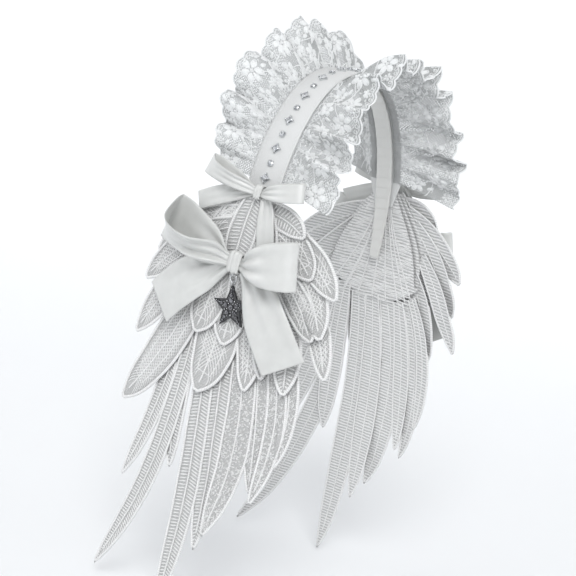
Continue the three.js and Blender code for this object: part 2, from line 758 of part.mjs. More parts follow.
// Star drop. It hangs from a jump ring stitched under the large bow's knot and lies on the wing.
// Its places are given beside the ring's middle, a across towards the back and b down.
const KNOT_SIDE = LARGE_BOW.pinch / 2 + LARGE_BOW.slack + 1.6 * KNOT_WALL;
const RING_SPOT = { u: LARGE_BOW.u, v: LARGE_BOW.v + KNOT_SIDE + GAP + RING_RADIUS + RING_WIRE / 2 };
const STAR_LEVEL = wingTopHeight + GAP + EYE_RADIUS + EYE_WIRE / 2;
const RING_STEPS = 12;
const EYE_STEPS = 8;
const WIRE_SIDES = 5;

function atStar(a, b, h) {
  const [c, s] = [Math.cos(degrees(STAR_LEAN)), Math.sin(degrees(STAR_LEAN))];
  const spot = onWing(RING_SPOT.u, RING_SPOT.v, STAR_LEVEL);
  return spot.add(new THREE.Vector3(-h, a * c - b * s, -(a * s + b * c)));
}

function wireRing(steps, radius, wire, centre, flat) {
  return loft(
    Array.from({ length: steps }, (_, i) => {
      const [c, s] = [Math.cos(turnOf(i / steps)), Math.sin(turnOf(i / steps))];
      return Array.from({ length: WIRE_SIDES }, (_, k) => {
        const out = radius + (wire / 2) * Math.cos(turnOf(k / WIRE_SIDES));
        const lift = (wire / 2) * Math.sin(turnOf(k / WIRE_SIDES));
        return flat ? atStar(out * c, centre + out * s, lift) : atStar(lift, centre + out * s, out * c);
      });
    }),
    true,
  );
}

const eyeCentre = RING_RADIUS + (EYE_RADIUS - EYE_WIRE / 2 - RING_WIRE / 2) * 0.5;
const starCentre = eyeCentre + EYE_RADIUS + STAR_RADIUS - EYE_WIRE;
function starPoint(k, reach, h) {
  const radius = reach * STAR_RADIUS * (k % 2 ? STAR_WAIST : 1);
  return atStar(radius * Math.sin(turnOf(k / 10)), starCentre - radius * Math.cos(turnOf(k / 10)), h);
}

function starStone(reach, turn, radius) {
  const centre = {
    a: reach * STAR_RADIUS * Math.sin(turnOf(turn)),
    b: starCentre - reach * STAR_RADIUS * Math.cos(turnOf(turn)),
  };
  const rings = [
    { size: 1, h: STAR_THICKNESS / 4 },
    { size: 0.55, h: STAR_THICKNESS / 2 + STAR_STONE_HEIGHT },
  ];
  return loft(
    rings.map(({ size, h }) =>
      Array.from({ length: STONE_SIDES }, (_, k) => {
        const [c, s] = [Math.cos(turnOf((k + 0.5) / STONE_SIDES)), Math.sin(turnOf((k + 0.5) / STONE_SIDES))];
        return atStar(centre.a + size * radius * c, centre.b + size * radius * s, h);
      }),
    ),
  );
}

function star() {
  const outline = Array.from({ length: 10 }, (_, k) => k);
  const half = STAR_THICKNESS / 2;
  const body = loft([
    outline.map((k) => starPoint(k, 0.97, -half)),
    outline.map((k) => starPoint(k, 1, half * 0.6)),
    outline.map((k) => starPoint(k, 0.95, half)),
  ]);
  const stones = [starStone(0, 0, STAR_STONE_RADIUS)];
  for (let k = 0; k < 5; k++) stones.push(starStone(0.42, k / 5, STAR_STONE_RADIUS * 0.9));
  return fuse([body, wireRing(EYE_STEPS, EYE_RADIUS, EYE_WIRE, eyeCentre, false), ...stones]);
}
addPair("star", star, "jet");
addPair("star_ring", () => wireRing(RING_STEPS, RING_RADIUS, RING_WIRE, 0, true), "silver");

export default group;
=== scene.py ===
import math

import bpy
import numpy as np
from mathutils import Matrix, Vector


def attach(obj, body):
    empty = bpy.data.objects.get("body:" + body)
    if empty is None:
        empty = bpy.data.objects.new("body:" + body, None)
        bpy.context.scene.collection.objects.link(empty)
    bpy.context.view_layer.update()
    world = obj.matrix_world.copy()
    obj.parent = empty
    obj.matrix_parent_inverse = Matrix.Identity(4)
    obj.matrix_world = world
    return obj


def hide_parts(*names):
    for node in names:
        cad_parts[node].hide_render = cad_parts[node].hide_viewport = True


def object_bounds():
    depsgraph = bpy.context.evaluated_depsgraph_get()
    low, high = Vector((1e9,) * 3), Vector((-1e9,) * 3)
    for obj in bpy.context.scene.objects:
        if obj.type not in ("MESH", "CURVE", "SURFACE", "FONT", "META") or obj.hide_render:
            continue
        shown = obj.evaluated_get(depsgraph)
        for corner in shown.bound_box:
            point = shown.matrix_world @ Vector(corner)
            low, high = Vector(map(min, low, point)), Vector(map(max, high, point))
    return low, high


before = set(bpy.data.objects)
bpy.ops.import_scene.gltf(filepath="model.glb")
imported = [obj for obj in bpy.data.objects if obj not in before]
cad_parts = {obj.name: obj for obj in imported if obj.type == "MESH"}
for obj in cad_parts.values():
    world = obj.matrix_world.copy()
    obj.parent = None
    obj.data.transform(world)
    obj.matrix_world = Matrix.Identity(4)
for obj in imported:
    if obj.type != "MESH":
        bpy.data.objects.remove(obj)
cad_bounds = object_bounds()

# Hoop. A thin sprung strip bent over the head, wound from end to end with narrow white satin. Each turn
# laps over the one before it, so that the cover shows slanting steps. Lengths are in millimetres, and
# s is the length along the hoop from the crown.
HOOP_HALF_WIDTH = 75
HOOP_HEIGHT = 124
HOOP_ROUNDNESS = 2.2
HOOP_STRIP = 12
HOOP_END_STRIP = 7
HOOP_THICKNESS = 2.5
HOOP_TAPER_FROM = 112
WINDING = 7.5
WINDING_STEP = 0.22
COVER_LAP = 0.4
COVER_RINGS = 520
COVER_SIDES = 20

arch_turn = np.linspace(0, math.pi / 2, 2001)
arch_x = HOOP_HALF_WIDTH * np.sin(arch_turn) ** (2 / HOOP_ROUNDNESS)
arch_z = HOOP_HEIGHT * (np.cos(arch_turn).clip(0) ** (2 / HOOP_ROUNDNESS) - 1)
arch_s = np.concatenate([[0], np.cumsum(np.hypot(np.diff(arch_x), np.diff(arch_z)))])
HOOP_REACH = arch_s[-1]


def arch_spot(s):
    far = np.abs(s)
    x = np.sign(s) * np.interp(far, arch_s, arch_x)
    return x, np.interp(far, arch_s, arch_z) - np.maximum(far - HOOP_REACH, 0)


def on_hoop(s, y, height):
    s, y, height = np.broadcast_arrays(s, y, height)
    (x, z), (x0, z0), (x1, z1) = arch_spot(s), arch_spot(s - 2), arch_spot(s + 2)
    run = np.hypot(x1 - x0, z1 - z0)
    return np.stack([x - (z1 - z0) / run * height, y, z + (x1 - x0) / run * height], -1)


def smooth(x, low, high):
    share = np.clip((x - low) / (high - low), 0, 1)
    return share * share * (3 - 2 * share)


# A sine or cosine made fuller, which turns a round section into a rounded oblong.
def fuller(value, power):
    return np.sign(value) * np.abs(value) ** power


def add_node(material, kind, **sockets):
    made = material.node_tree.nodes.new("ShaderNode" + kind)
    for name, value in sockets.items():
        socket = made.inputs[int(name[1:])] if name[1:].isdigit() else made.inputs[name.replace("_", " ")]
        if isinstance(value, bpy.types.NodeSocket):
            material.node_tree.links.new(value, socket)
        else:
            socket.default_value = value
    return made


def add_math(material, operation, *terms):
    made = add_node(material, "Math", **{f"i{k}": term for k, term in enumerate(terms)})
    made.operation = operation
    return made.outputs[0]


def new_material(name, colour, roughness, **sockets):
    material = bpy.data.materials.new(name)
    material.use_nodes = True
    shader = material.node_tree.nodes["Principled BSDF"]
    shader.inputs["Base Color"].default_value = (*colour, 1)
    shader.inputs["Roughness"].default_value = roughness
    for socket, value in sockets.items():
        shader.inputs[socket.replace("_", " ")].default_value = value
    return material, shader


def two_tones(material, shader, height, dark, light):
    tones = add_node(material, "ValToRGB", Fac=height)
    tones.color_ramp.elements[0].color = (*dark, 1)
    tones.color_ramp.elements[1].color = (*light, 1)
    material.node_tree.links.new(tones.outputs["Color"], shader.inputs["Base Color"])
    return tones


# Soft spots that follow the place on the object, and how far places lie from the threads of a net.
def object_noise(material, scale, detail):
    place = add_node(material, "TexCoord").outputs["Object"]
    return add_node(material, "TexNoise", Vector=place, Scale=scale, Detail=detail).outputs[0]


def net_holes(material, place, scale, randomness):
    meshes = add_node(material, "TexVoronoi", Vector=place, Scale=scale, Randomness=randomness)
    meshes.voronoi_dimensions = "2D"
    meshes.feature = "DISTANCE_TO_EDGE"
    return meshes.outputs["Distance"]


def raise_bump(material, shader, height, distance, strength=1.0):
    bump = add_node(material, "Bump", Height=height, Distance=distance, Strength=strength)
    material.node_tree.links.new(bump.outputs["Normal"], shader.inputs["Normal"])


# Satin: warp threads along the ribbon, a woven line inside each edge, and a soft, slightly uneven sheen.
# Its UV map is in millimetres, v along the ribbon and u across it from its middle.
WARP_PITCH = 0.42
WOVEN_LINE_INSET = 0.9


def satin_material(name, half_width, light, dark):
    material, shader = new_material(name, light, 0.4, Sheen_Weight=0.2, Specular_IOR_Level=0.8)
    flat = add_node(material, "UVMap").outputs["UV"]
    split = add_node(material, "SeparateXYZ", Vector=flat)
    turn = add_math(material, "MULTIPLY", split.outputs["X"], 2 * math.pi / WARP_PITCH)
    warp = add_math(material, "SINE", turn)
    from_edge = add_math(material, "SUBTRACT", half_width, add_math(material, "ABSOLUTE", split.outputs["X"]))
    line = add_math(material, "ABSOLUTE", add_math(material, "SUBTRACT", from_edge, WOVEN_LINE_INSET))
    groove = add_math(material, "SMOOTH_MIN", line, 0.35, 0.2)
    cloudy = add_node(material, "TexNoise", Vector=flat, Scale=0.09, Detail=3.0).outputs[0]
    two_tones(material, shader, cloudy, dark, light)
    slub = add_node(material, "TexNoise", Vector=flat, Scale=1.6, Detail=2.0).outputs[0]
    grain = add_math(material, "MULTIPLY_ADD", warp, 0.12, slub)
    raise_bump(material, shader, add_math(material, "MULTIPLY_ADD", groove, 1.8, grain), 0.00007, 0.7)
    glossy = add_math(material, "MULTIPLY_ADD", slub, 0.16, 0.26)
    material.node_tree.links.new(glossy, shader.inputs["Roughness"])
    return material


def grid_faces(rows, columns, around=False):
    across = np.arange(columns if around else columns - 1)
    i, j = np.meshgrid(np.arange(rows - 1), across, indexing="ij")
    k = (j + 1) % columns
    quads = np.stack([i * columns + j, i * columns + k, (i + 1) * columns + k, (i + 1) * columns + j], -1)
    return quads.reshape(-1, 4).tolist()


# Closed tubes, one after another, each of so many rings, with an end over its first and last ring.
def tube_faces(count, rings, sides):
    one = np.array(grid_faces(rings, sides, around=True))
    starts = (np.arange(count) * rings * sides)[:, None, None]
    faces = (one[None] + starts).reshape(-1, 4).tolist()
    for start in starts.ravel().tolist():
        faces.append(list(range(start, start + sides))[::-1])
        faces.append(list(range(start + (rings - 1) * sides, start + rings * sides)))
    return faces


def turned_over(faces):
    return [face[::-1] for face in faces]


def side_by_side(*values):
    return np.stack(np.broadcast_arrays(*values), -1)


def add_piece(name, points, faces, flat, slot, materials, replaces=()):
    mesh = bpy.data.meshes.new(name)
    mesh.from_pydata((np.asarray(points).reshape(-1, 3) / 1000).tolist(), [], faces)
    corners = np.zeros(len(mesh.loops), np.int32)
    mesh.loops.foreach_get("vertex_index", corners)
    layer = mesh.uv_layers.new(name="UVMap")
    layer.data.foreach_set("uv", np.asarray(flat, float).reshape(-1, 2)[corners].ravel())
    mesh.shade_smooth()
    piece = bpy.data.objects.new(name, mesh)
    bpy.context.scene.collection.objects.link(piece)
    for material in materials:
        mesh.materials.append(material)
    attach(piece, "root")
    if replaces:
        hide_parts(*replaces)
    return piece


def apply_modifier(piece, kind, **settings):
    bpy.ops.object.select_all(action="DESELECT")
    bpy.context.view_layer.objects.active = piece
    piece.select_set(True)
    modifier = piece.modifiers.new(kind.title(), kind)
    for name, value in settings.items():
        setattr(modifier, name, value)
    bpy.ops.object.modifier_apply(modifier=modifier.name)


hoop_satin = satin_material("hoop satin", WINDING / 2, (0.68, 0.68, 0.66), (0.58, 0.58, 0.56))
lengths = np.linspace(-HOOP_REACH - COVER_LAP, HOOP_REACH + COVER_LAP, COVER_RINGS)[:, None]
turns = np.linspace(0, 2 * math.pi, COVER_SIDES, endpoint=False)[None, :]
to_end = (HOOP_REACH + COVER_LAP - np.abs(lengths)).clip(0)
strip = np.interp(np.abs(lengths), [HOOP_TAPER_FROM, HOOP_REACH], [HOOP_STRIP, HOOP_END_STRIP])
closing = np.sqrt(1 - (1 - (to_end / 3).clip(0, 1)) ** 2) * 0.98 + 0.02
lap = WINDING_STEP * ((lengths / WINDING - turns / (2 * math.pi)) % 1)
points = on_hoop(
    lengths,
    fuller(np.cos(turns), 0.45) * closing * (strip / 2 + lap),
    HOOP_THICKNESS / 2 + fuller(np.sin(turns), 0.6) * closing * (HOOP_THICKNESS / 2 + lap - 0.05),
)
in_winding = (lengths - turns * WINDING / (2 * math.pi)) % WINDING - WINDING / 2
flat = side_by_side(in_winding, turns * 3)
faces = tube_faces(1, COVER_RINGS, COVER_SIDES)
add_piece("hoop_cover", points, faces, flat, "hoop_covering", [hoop_satin], ["hoop"])

# Centre ribbon. White twill ribbon laid on the hoop, with fine slanting pleats pressed into its rear
# half and a row of running stitches inside each edge that holds it to the lace. Its ends narrow and
# are tucked under the wings.
RIBBON_WIDTH = 24
RIBBON_REACH = 124
RIBBON_TAPER_FROM = 108
RIBBON_END_WIDTH = 14
RIBBON_WALL = 1
SEAT_GAP = 0.3
RIBBON_LEVEL = HOOP_THICKNESS + SEAT_GAP + RIBBON_WALL / 2
RIBBON_CLOTH = 0.7
PLEAT_PITCH = 2.3
PLEAT_DEPTH = 0.26
PLEAT_SLANT = 0.7
STITCH_INSET = 2
STITCH_PITCH = 3.1
STITCH_LENGTH = 2.1


# Threads laid along paths, each with its own ends closed. Paths are given as rows of points with the
# surface's normal at each, and are as wide as width and as high as height, less at their ends.
def lay_threads(paths, normals, width, height, sides=5, ends=0.45):
    count, steps = paths.shape[:2]
    ahead = np.gradient(paths, axis=1)
    ahead /= np.linalg.norm(ahead, axis=-1, keepdims=True) + 1e-9
    beside = np.cross(normals, ahead)
    beside /= np.linalg.norm(beside, axis=-1, keepdims=True) + 1e-9
    up = np.cross(ahead, beside)
    full = np.ones(steps)
    full[[0, -1]] = ends
    full = full[None, :, None, None]
    angle = 2 * math.pi * (np.arange(sides) + 0.5) / sides
    cos, sin = np.cos(angle)[None, None, :, None], np.sin(angle)[None, None, :, None]
    width, height = (np.broadcast_to(size, (count, steps))[..., None, None] for size in (width, height))
    rings = paths[:, :, None] + full * (
        width / 2 * cos * beside[:, :, None] + height / 2 * sin * up[:, :, None]
    )
    lengths = np.cumsum(np.linalg.norm(np.diff(paths, axis=1, prepend=paths[:, :1]), axis=-1), 1)
    flat = side_by_side(np.arange(sides)[None, None] / sides, lengths[:, :, None])
    return rings.reshape(-1, 3), tube_faces(count, steps, sides), flat.reshape(-1, 2)


def join_threads(groups):
    points, faces, flat, start = [], [], [], 0
    for group_points, group_faces, group_flat in groups:
        points.append(group_points)
        flat.append(group_flat)
        faces += [[corner + start for corner in face] for face in group_faces]
        start += len(group_points)
    return np.concatenate(points), faces, np.concatenate(flat)


# Thread: a twisted strand, matt, with fine fibres, its colour painted darker in the grooves between its plies
# and where the fibres dip, a painted shade. v of its UV map is the length along the strand.
def thread_material(name, light, dark, twist):
    material, shader = new_material(name, light, 0.75, Sheen_Weight=0.3, Specular_IOR_Level=0.3)
    flat = add_node(material, "UVMap").outputs["UV"]
    split = add_node(material, "SeparateXYZ", Vector=flat)
    along = add_math(material, "DIVIDE", split.outputs["Y"], twist)
    phase = add_math(material, "MULTIPLY", add_math(material, "ADD", along, split.outputs["X"]), 2 * math.pi)
    plies = add_math(material, "MULTIPLY_ADD", add_math(material, "SINE", phase), 0.5, 0.5)
    fibres = object_noise(material, 900.0, 3.0)
    ply_relief_and_shade = add_math(material, "MULTIPLY_ADD", plies, 0.45, fibres)
    # Painted shade: the thread is darker where its plies and fibres dip, the same height that drives its
    # bump.
    two_tones(material, shader, add_math(material, "MULTIPLY", ply_relief_and_shade, 0.8), dark, light)
    raise_bump(material, shader, ply_relief_and_shade, 0.00018, 0.8)
    return material


ribbon_twill, shader = new_material("ribbon twill", (0.84, 0.85, 0.85), 0.55, Sheen_Weight=0.3)
flat_place = add_node(ribbon_twill, "UVMap").outputs["UV"]
turned = add_node(ribbon_twill, "Mapping", Vector=flat_place, Rotation=(0, 0, 0.9)).outputs[0]
ribs = add_node(ribbon_twill, "TexWave", Vector=turned, Scale=0.55, Distortion=0.6, Detail=2.0)
weave = add_node(ribbon_twill, "TexNoise", Vector=flat_place, Scale=2.2, Detail=4.0).outputs[0]
twill = add_math(ribbon_twill, "MULTIPLY_ADD", ribs.outputs["Fac"], 0.7, weave)
# Painted shade: the ribbon is darker where its slanting ribs and weave dip, as in its bump.
two_tones(ribbon_twill, shader, twill, (0.5, 0.505, 0.5), (0.7, 0.705, 0.7))
raise_bump(ribbon_twill, shader, twill, 0.00012, 0.7)

lengths = np.linspace(-RIBBON_REACH, RIBBON_REACH, 400)[:, None]
places = np.linspace(-1, 1, 21)[None, :]


def ribbon_width(s):
    return np.interp(np.abs(s), [RIBBON_TAPER_FROM, RIBBON_REACH], [RIBBON_WIDTH, RIBBON_END_WIDTH])


sideways = places * ribbon_width(lengths) / 2
pleats = np.sin(2 * math.pi * (lengths + PLEAT_SLANT * sideways) / PLEAT_PITCH)
pressed = PLEAT_DEPTH * pleats * smooth(sideways, 0, 6)
pucker = -0.12 * np.exp(-(((np.abs(sideways) - ribbon_width(lengths) / 2 + STITCH_INSET) / 0.7) ** 2))
pucker = pucker * (0.7 + 0.3 * np.cos(2 * math.pi * lengths / STITCH_PITCH))
points = on_hoop(lengths, sideways, RIBBON_LEVEL + pressed + pucker - 0.1 * places**8)
flat = side_by_side(sideways, lengths)
ribbon = add_piece(
    "ribbon_cloth", points, grid_faces(400, 21), flat, "centre_ribbon", [ribbon_twill], ["centre_ribbon"]
)
apply_modifier(ribbon, "SOLIDIFY", thickness=RIBBON_CLOTH / 1000, offset=0)

sewing_thread = thread_material("sewing thread", (0.85, 0.86, 0.86), (0.62, 0.63, 0.63), 0.8)
rows = []
for edge in (-1, 1):
    starts = np.arange(-RIBBON_REACH + 12, RIBBON_REACH - 12, STITCH_PITCH)[:, None]
    s = starts + np.linspace(0, STITCH_LENGTH, 4)[None, :]
    y = edge * (ribbon_width(s) / 2 - STITCH_INSET)
    dip = RIBBON_LEVEL + RIBBON_CLOTH / 2 + np.array([-0.15, 0.08, 0.08, -0.15])[None, :]
    path = on_hoop(s, y, dip)
    rows.append(lay_threads(path, on_hoop(s, y, dip + 1) - path, 0.45, 0.35))
stitches = add_piece("ribbon_stitches", *join_threads(rows), "centre_ribbon", [sewing_thread])

# Lace ruffles. Net lace worked with corded flowers, leaves and winding stems, cut to a scalloped and
# doubly corded edge, gathered along its straight edge and stitched under each side of the ribbon.
# The front one spreads over the forehead, the back one stands up. w is the distance from the gathered
# edge, t the share of it beyond the ribbon, and f the length along the lace before it was gathered.
LACE_WIDTH = 45
LACE_REACH = 106
LACE_FOLD = 19
LACE_FOLD_DEPTH = 8.5
LACE_TUCK = 5
LACE_END_EASE = 24
LACE_LEAN = 0.13
LACE_LEVEL = 2.2
LACE_CLOTH = 0.3
SCALLOP = 9.5
SCALLOP_DEPTH = 2.2
PETAL_SIDES = 10
RUFFLE_PLACES = [0, 0.3, 0.6, 0.85, 1]
RUFFLES = {
    "front": {
        "side": -1,
        "cut": 45,
        "fan": 0.24,
        "spread": [0.8, 0.84, 0.93, 1, 0.93],
        "rise": [0.29, 0.27, 0.22, 0.18, 0.13],
    },
    "back": {
        "side": 1,
        "cut": 36,
        "fan": -0.07,
        "spread": [0.51, 0.49, 0.56, 0.56, 0.49],
        "rise": [0.49, 0.56, 0.51, 0.29, 0.18],
    },
}
OPENING = [0, 0.24, 0.6, 1]
FOLD_RISE = [0, 0.36, 0.78, 1]
FOLD_DEPTH = [0, 0.42, 0.85, 1]
FOLD_LEAN = [0, 0.25, 0.7, 1]


# A smooth curve through the values at those places, and one that levels out at each of them.
def curve_through(x, places, values):
    places, values = np.asarray(places, float), np.asarray(values, float)
    slopes = np.gradient(values, places)
    x = np.clip(x, places[0], places[-1])
    k = np.clip(np.searchsorted(places, x), 1, len(places) - 1)
    run = places[k] - places[k - 1]
    share = (x - places[k - 1]) / run
    low, high = values[k - 1], values[k]
    bend = share * (1 - share)
    from_low = (slopes[k - 1] * run - (high - low)) * (1 - share)
    from_high = (high - low - slopes[k] * run) * share
    return low + (high - low) * share + bend * (from_low + from_high)


def eased(x, places, values):
    places, values = np.asarray(places, float), np.asarray(values, float)
    k = np.clip(np.searchsorted(places, x), 1, len(places) - 1)
    return values[k - 1] + (values[k] - values[k - 1]) * smooth(x, places[k - 1], places[k])


def ruffle_spot(ruffle, s, t, tuck=0):
    s, t, tuck = np.broadcast_arrays(s, t, tuck)
    side = ruffle["side"]
    from_crown = (np.abs(s) / LACE_REACH).clip(0, 1)
    spread = eased(from_crown, RUFFLE_PLACES, ruffle["spread"]) * LACE_WIDTH
    rise = eased(from_crown, RUFFLE_PLACES, ruffle["rise"]) * LACE_WIDTH
    calm = 0.25 + 0.75 * smooth(LACE_REACH - np.abs(s), 0, LACE_END_EASE)
    fold = 2 * math.pi * s / LACE_FOLD
    turn = fold + 0.7 * np.sin(fold / 4.4 + side) + 0.4 * np.sin(fold / 1.95)
    swing = (0.82 + 0.18 * np.sin(fold / 2.8 + 2 * side)) * calm
    depth = curve_through(t, OPENING, FOLD_DEPTH) * LACE_FOLD_DEPTH * swing
    pace = 1 + 0.16 * np.cos(fold / 4.4 + side) + 0.205 * np.cos(fold / 1.95)
    lean = curve_through(t, OPENING, FOLD_LEAN) * LACE_LEAN * LACE_FOLD * calm / pace
    gather = 0.8 * calm * np.sin(3 * turn + 1) * smooth(t, 0, 0.1) * (1 - smooth(t, 0.15, 0.7))
    flutter = 1.5 * calm * np.sin(2 * turn + 4 * np.sin(fold / 5.3)) * t**2
    fan = np.sign(s) * ruffle["fan"] * LACE_WIDTH * t * from_crown**2
    return on_hoop(
        s + fan - side * lean * np.cos(turn),
        side * (RIBBON_WIDTH / 2 - tuck + t * spread),
        LACE_LEVEL + curve_through(t, OPENING, FOLD_RISE) * rise + depth * np.sin(turn) + gather + flutter,
    )


class Lace:
    def __init__(self, ruffle):
        self.ruffle = ruffle
        self.width = ruffle["cut"]
        self.s = np.linspace(-LACE_REACH, LACE_REACH, 1600)
        line = ruffle_spot(ruffle, self.s, 0.75)
        steps = np.linalg.norm(np.diff(line, axis=0), axis=1)
        self.f = np.concatenate([[0], np.cumsum(steps)])
        self.length = self.f[-1]

    def spot(self, f, w, lift=0.0):
        s = np.interp(f, self.f, self.s)
        t = ((w - LACE_TUCK) / (self.width - LACE_TUCK)).clip(0)
        tuck = (LACE_TUCK - w).clip(0)
        place = ruffle_spot(self.ruffle, s, t, tuck)
        return place + self.normal(f, w) * lift if lift else place

    def normal(self, f, w):
        along = self.spot(f + 0.4, w) - self.spot(f - 0.4, w)
        across = self.spot(f, w + 0.4) - self.spot(f, w - 0.4)
        normal = np.cross(along, across) * self.ruffle["side"]
        return normal / (np.linalg.norm(normal, axis=-1, keepdims=True) + 1e-9)

    def threads(self, f, w, width, height, lift=0.05, sides=4):
        f, w = np.broadcast_arrays(f, w)
        return lay_threads(self.spot(f, w, lift), self.normal(f, w), width, height, sides)

    # How far the scalloped edge is from the gathered one.
    def edge(self, f):
        return self.width - SCALLOP_DEPTH * (1 - np.abs(np.sin(math.pi * f / SCALLOP)) ** 0.7)


# A petal or leaf worked in close stitches, from its root at (f, w), pointing at that angle.
def lace_petals(lace, f, w, angle, length, width):
    sizes = np.broadcast_arrays(f, w, angle, length, width)
    f, w, angle, length, width = (np.atleast_1d(size) for size in sizes)
    turns = np.linspace(0, 2 * math.pi, PETAL_SIDES, endpoint=False)
    along = 0.5 - 0.5 * np.cos(turns)
    beside = np.sin(turns) * (0.75 + 0.5 * along) / 2
    rings = []
    for size, lift in ((1, -0.3), (0.97, 0.3), (0.5, 0.5)):
        a = 0.5 + (along - 0.5) * size
        b = beside * size
        run = a * length[:, None]
        out = b * width[:, None]
        pf = f[:, None] + run * np.cos(angle)[:, None] - out * np.sin(angle)[:, None]
        pw = w[:, None] + run * np.sin(angle)[:, None] + out * np.cos(angle)[:, None]
        rings.append(lace.spot(pf, pw, lift))
    points = np.stack(rings, 1)
    faces = tube_faces(len(f), 3, PETAL_SIDES)
    if lace.ruffle["side"] > 0:
        faces = turned_over(faces)
    flat = np.stack([np.broadcast_to(size, points.shape[:3]) for size in (turns / 6.3, along * 5)], -1)
    return points.reshape(-1, 3), faces, flat.reshape(-1, 2)


# Net: square meshes set corner to corner, with thicker threads in some places than in others. Light
# passes through its holes.
lace_net, shader = new_material("lace net", (0.86, 0.88, 0.88), 0.8, Sheen_Weight=0.2)
flat_place = add_node(lace_net, "UVMap").outputs["UV"]
turned = add_node(lace_net, "Mapping", Vector=flat_place, Rotation=(0, 0, math.pi / 4)).outputs[0]
holes = net_holes(lace_net, turned, 0.72, 0.12)
clouded = add_node(lace_net, "TexNoise", Vector=flat_place, Scale=0.16, Detail=3.0).outputs[0]
thread = add_node(lace_net, "MapRange", Value=clouded, From_Min=0.4, From_Max=0.6, To_Min=0.11, To_Max=0.19)
from_thread = add_math(lace_net, "SUBTRACT", holes, thread.outputs[0])
closed = add_node(lace_net, "MapRange", Value=from_thread, From_Max=0.08, To_Min=1.0, To_Max=0.1)
lace_net.node_tree.links.new(closed.outputs[0], shader.inputs["Alpha"])
two_tones(lace_net, shader, clouded, (0.38, 0.39, 0.39), (0.54, 0.55, 0.55))
raise_bump(lace_net, shader, closed.outputs[0], 0.0002, 0.6)
lace_cord = thread_material("lace cord", (0.9, 0.91, 0.91), (0.6, 0.61, 0.61), 1.1)
lace_fill = thread_material("lace fill", (0.9, 0.91, 0.91), (0.62, 0.63, 0.63), 0.8)

for name, ruffle in RUFFLES.items():
    lace = Lace(ruffle)
    rng = np.random.default_rng(7 if name == "front" else 8)
    rows, columns = int(lace.length / 1.1), 28
    f = np.linspace(0, lace.length, rows)[:, None]
    share = np.linspace(0, 1, columns)[None, :] ** 0.9
    w = share * lace.edge(f)
    f = np.broadcast_to(f, w.shape)
    faces = grid_faces(rows, columns)
    if name == "back":
        faces = turned_over(faces)
    flat = side_by_side(f, w)
    net = add_piece(f"lace_net_{name}", lace.spot(f, w), faces, flat, "lace", [lace_net], [f"ruffle_{name}"])
    apply_modifier(net, "SOLIDIFY", thickness=LACE_CLOTH / 1000, offset=0)

    # The doubly corded scalloped edge, with a row of eyelets inside it, and the heading at the ribbon.
    f = np.arange(0, lace.length, 0.8)[None, :]
    groups = [
        lace.threads(f, lace.edge(f) - 0.35, 1.1, 1.1, 0, 6),
        lace.threads(f, lace.edge(f) - 2.3, 0.65, 0.8, sides=5),
        lace.threads(f, LACE_TUCK + 2 + 0.7 * np.sin(f * 0.9), 0.6, 0.7),
    ]
    # Winding stems between the flowers.
    for centre, sway, period in ((0.3, 3.2, 31), (0.56, 4.2, 37)):
        phase = rng.uniform(0, 6.3)
        bend = f * 2 * math.pi / period + phase
        stem_f = f + 4.5 * np.sin(2 * bend)
        stem_w = centre * lace.width + sway * np.sin(bend) + 1.2 * np.sin(2.7 * bend)
        groups.append(lace.threads(stem_f, stem_w, 0.9, 0.95))
    # Eyelets along the scallops and small rings in the ground.
    ring = np.linspace(0, 2 * math.pi, 9)[None, :]
    at = np.arange(SCALLOP / 6, lace.length, SCALLOP / 3)[:, None]
    scatter_f = rng.uniform(3, lace.length - 3, 150)[:, None]
    scatter_w = rng.uniform(LACE_TUCK + 4, lace.width - 8, 150)[:, None]
    for ring_f, ring_w, radius in ((at, lace.edge(at) - 4.2, 1.1), (scatter_f, scatter_w, 1.3)):
        groups.append(lace.threads(ring_f + radius * np.cos(ring), ring_w + radius * np.sin(ring), 0.55, 0.7))
    stems = groups

    # Flowers in staggered rows, with a corded rim round the large ones and leaves between them.
    groups, rims = [], []
    flower_rows = ((0.68, 21, 1.45, 0), (0.36, 21, 1.1, 10.5), (0.82, 21, 0.6, 10.5), (0.2, 14, 0.6, 3))
    for row_w, pitch, size, offset in flower_rows:
        for centre in np.arange(6 + offset, lace.length - 5, pitch):
            cf, cw = centre + rng.uniform(-1, 1), row_w * lace.width + rng.uniform(-1, 1)
            count = 5 if size < 1 else 6
            first = rng.uniform(0, 6.3)
            angle = first + 2 * math.pi * np.arange(count) / count
            root = 0.9 * size
            groups.append(
                lace_petals(
                    lace,
                    cf + root * np.cos(angle),
                    cw + root * np.sin(angle),
                    angle,
                    4.0 * size,
                    3.0 * size,
                )
            )
            groups.append(lace_petals(lace, cf - 0.8 * size, cw, 0.0, 1.6 * size, 1.6 * size))
            if size > 1:
                turn = np.linspace(0, 2 * math.pi, 61)[None, :]
                rim = root + 4.35 * size * np.abs(np.cos((turn - first) * count / 2)) ** 0.7
                rims.append(lace.threads(cf + rim * np.cos(turn), cw + rim * np.sin(turn), 0.8, 1, 0.08, 4))
            leaf = first + rng.uniform(0.3, 0.7, 3) + np.array([0, 2.2, 4.1])
            reach = 6.4 * size
            groups.append(
                lace_petals(
                    lace,
                    cf + reach * np.cos(leaf),
                    (cw + reach * np.sin(leaf)).clip(LACE_TUCK + 2, lace.width - 6),
                    leaf + rng.uniform(-0.6, 0.6, 3),
                    3.6 * size,
                    1.7 * size,
                )
            )
    cords = add_piece(f"lace_cords_{name}", *join_threads(stems + rims), "lace", [lace_cord])
    flowers = add_piece(f"lace_flowers_{name}", *join_threads(groups), "lace", [lace_fill])

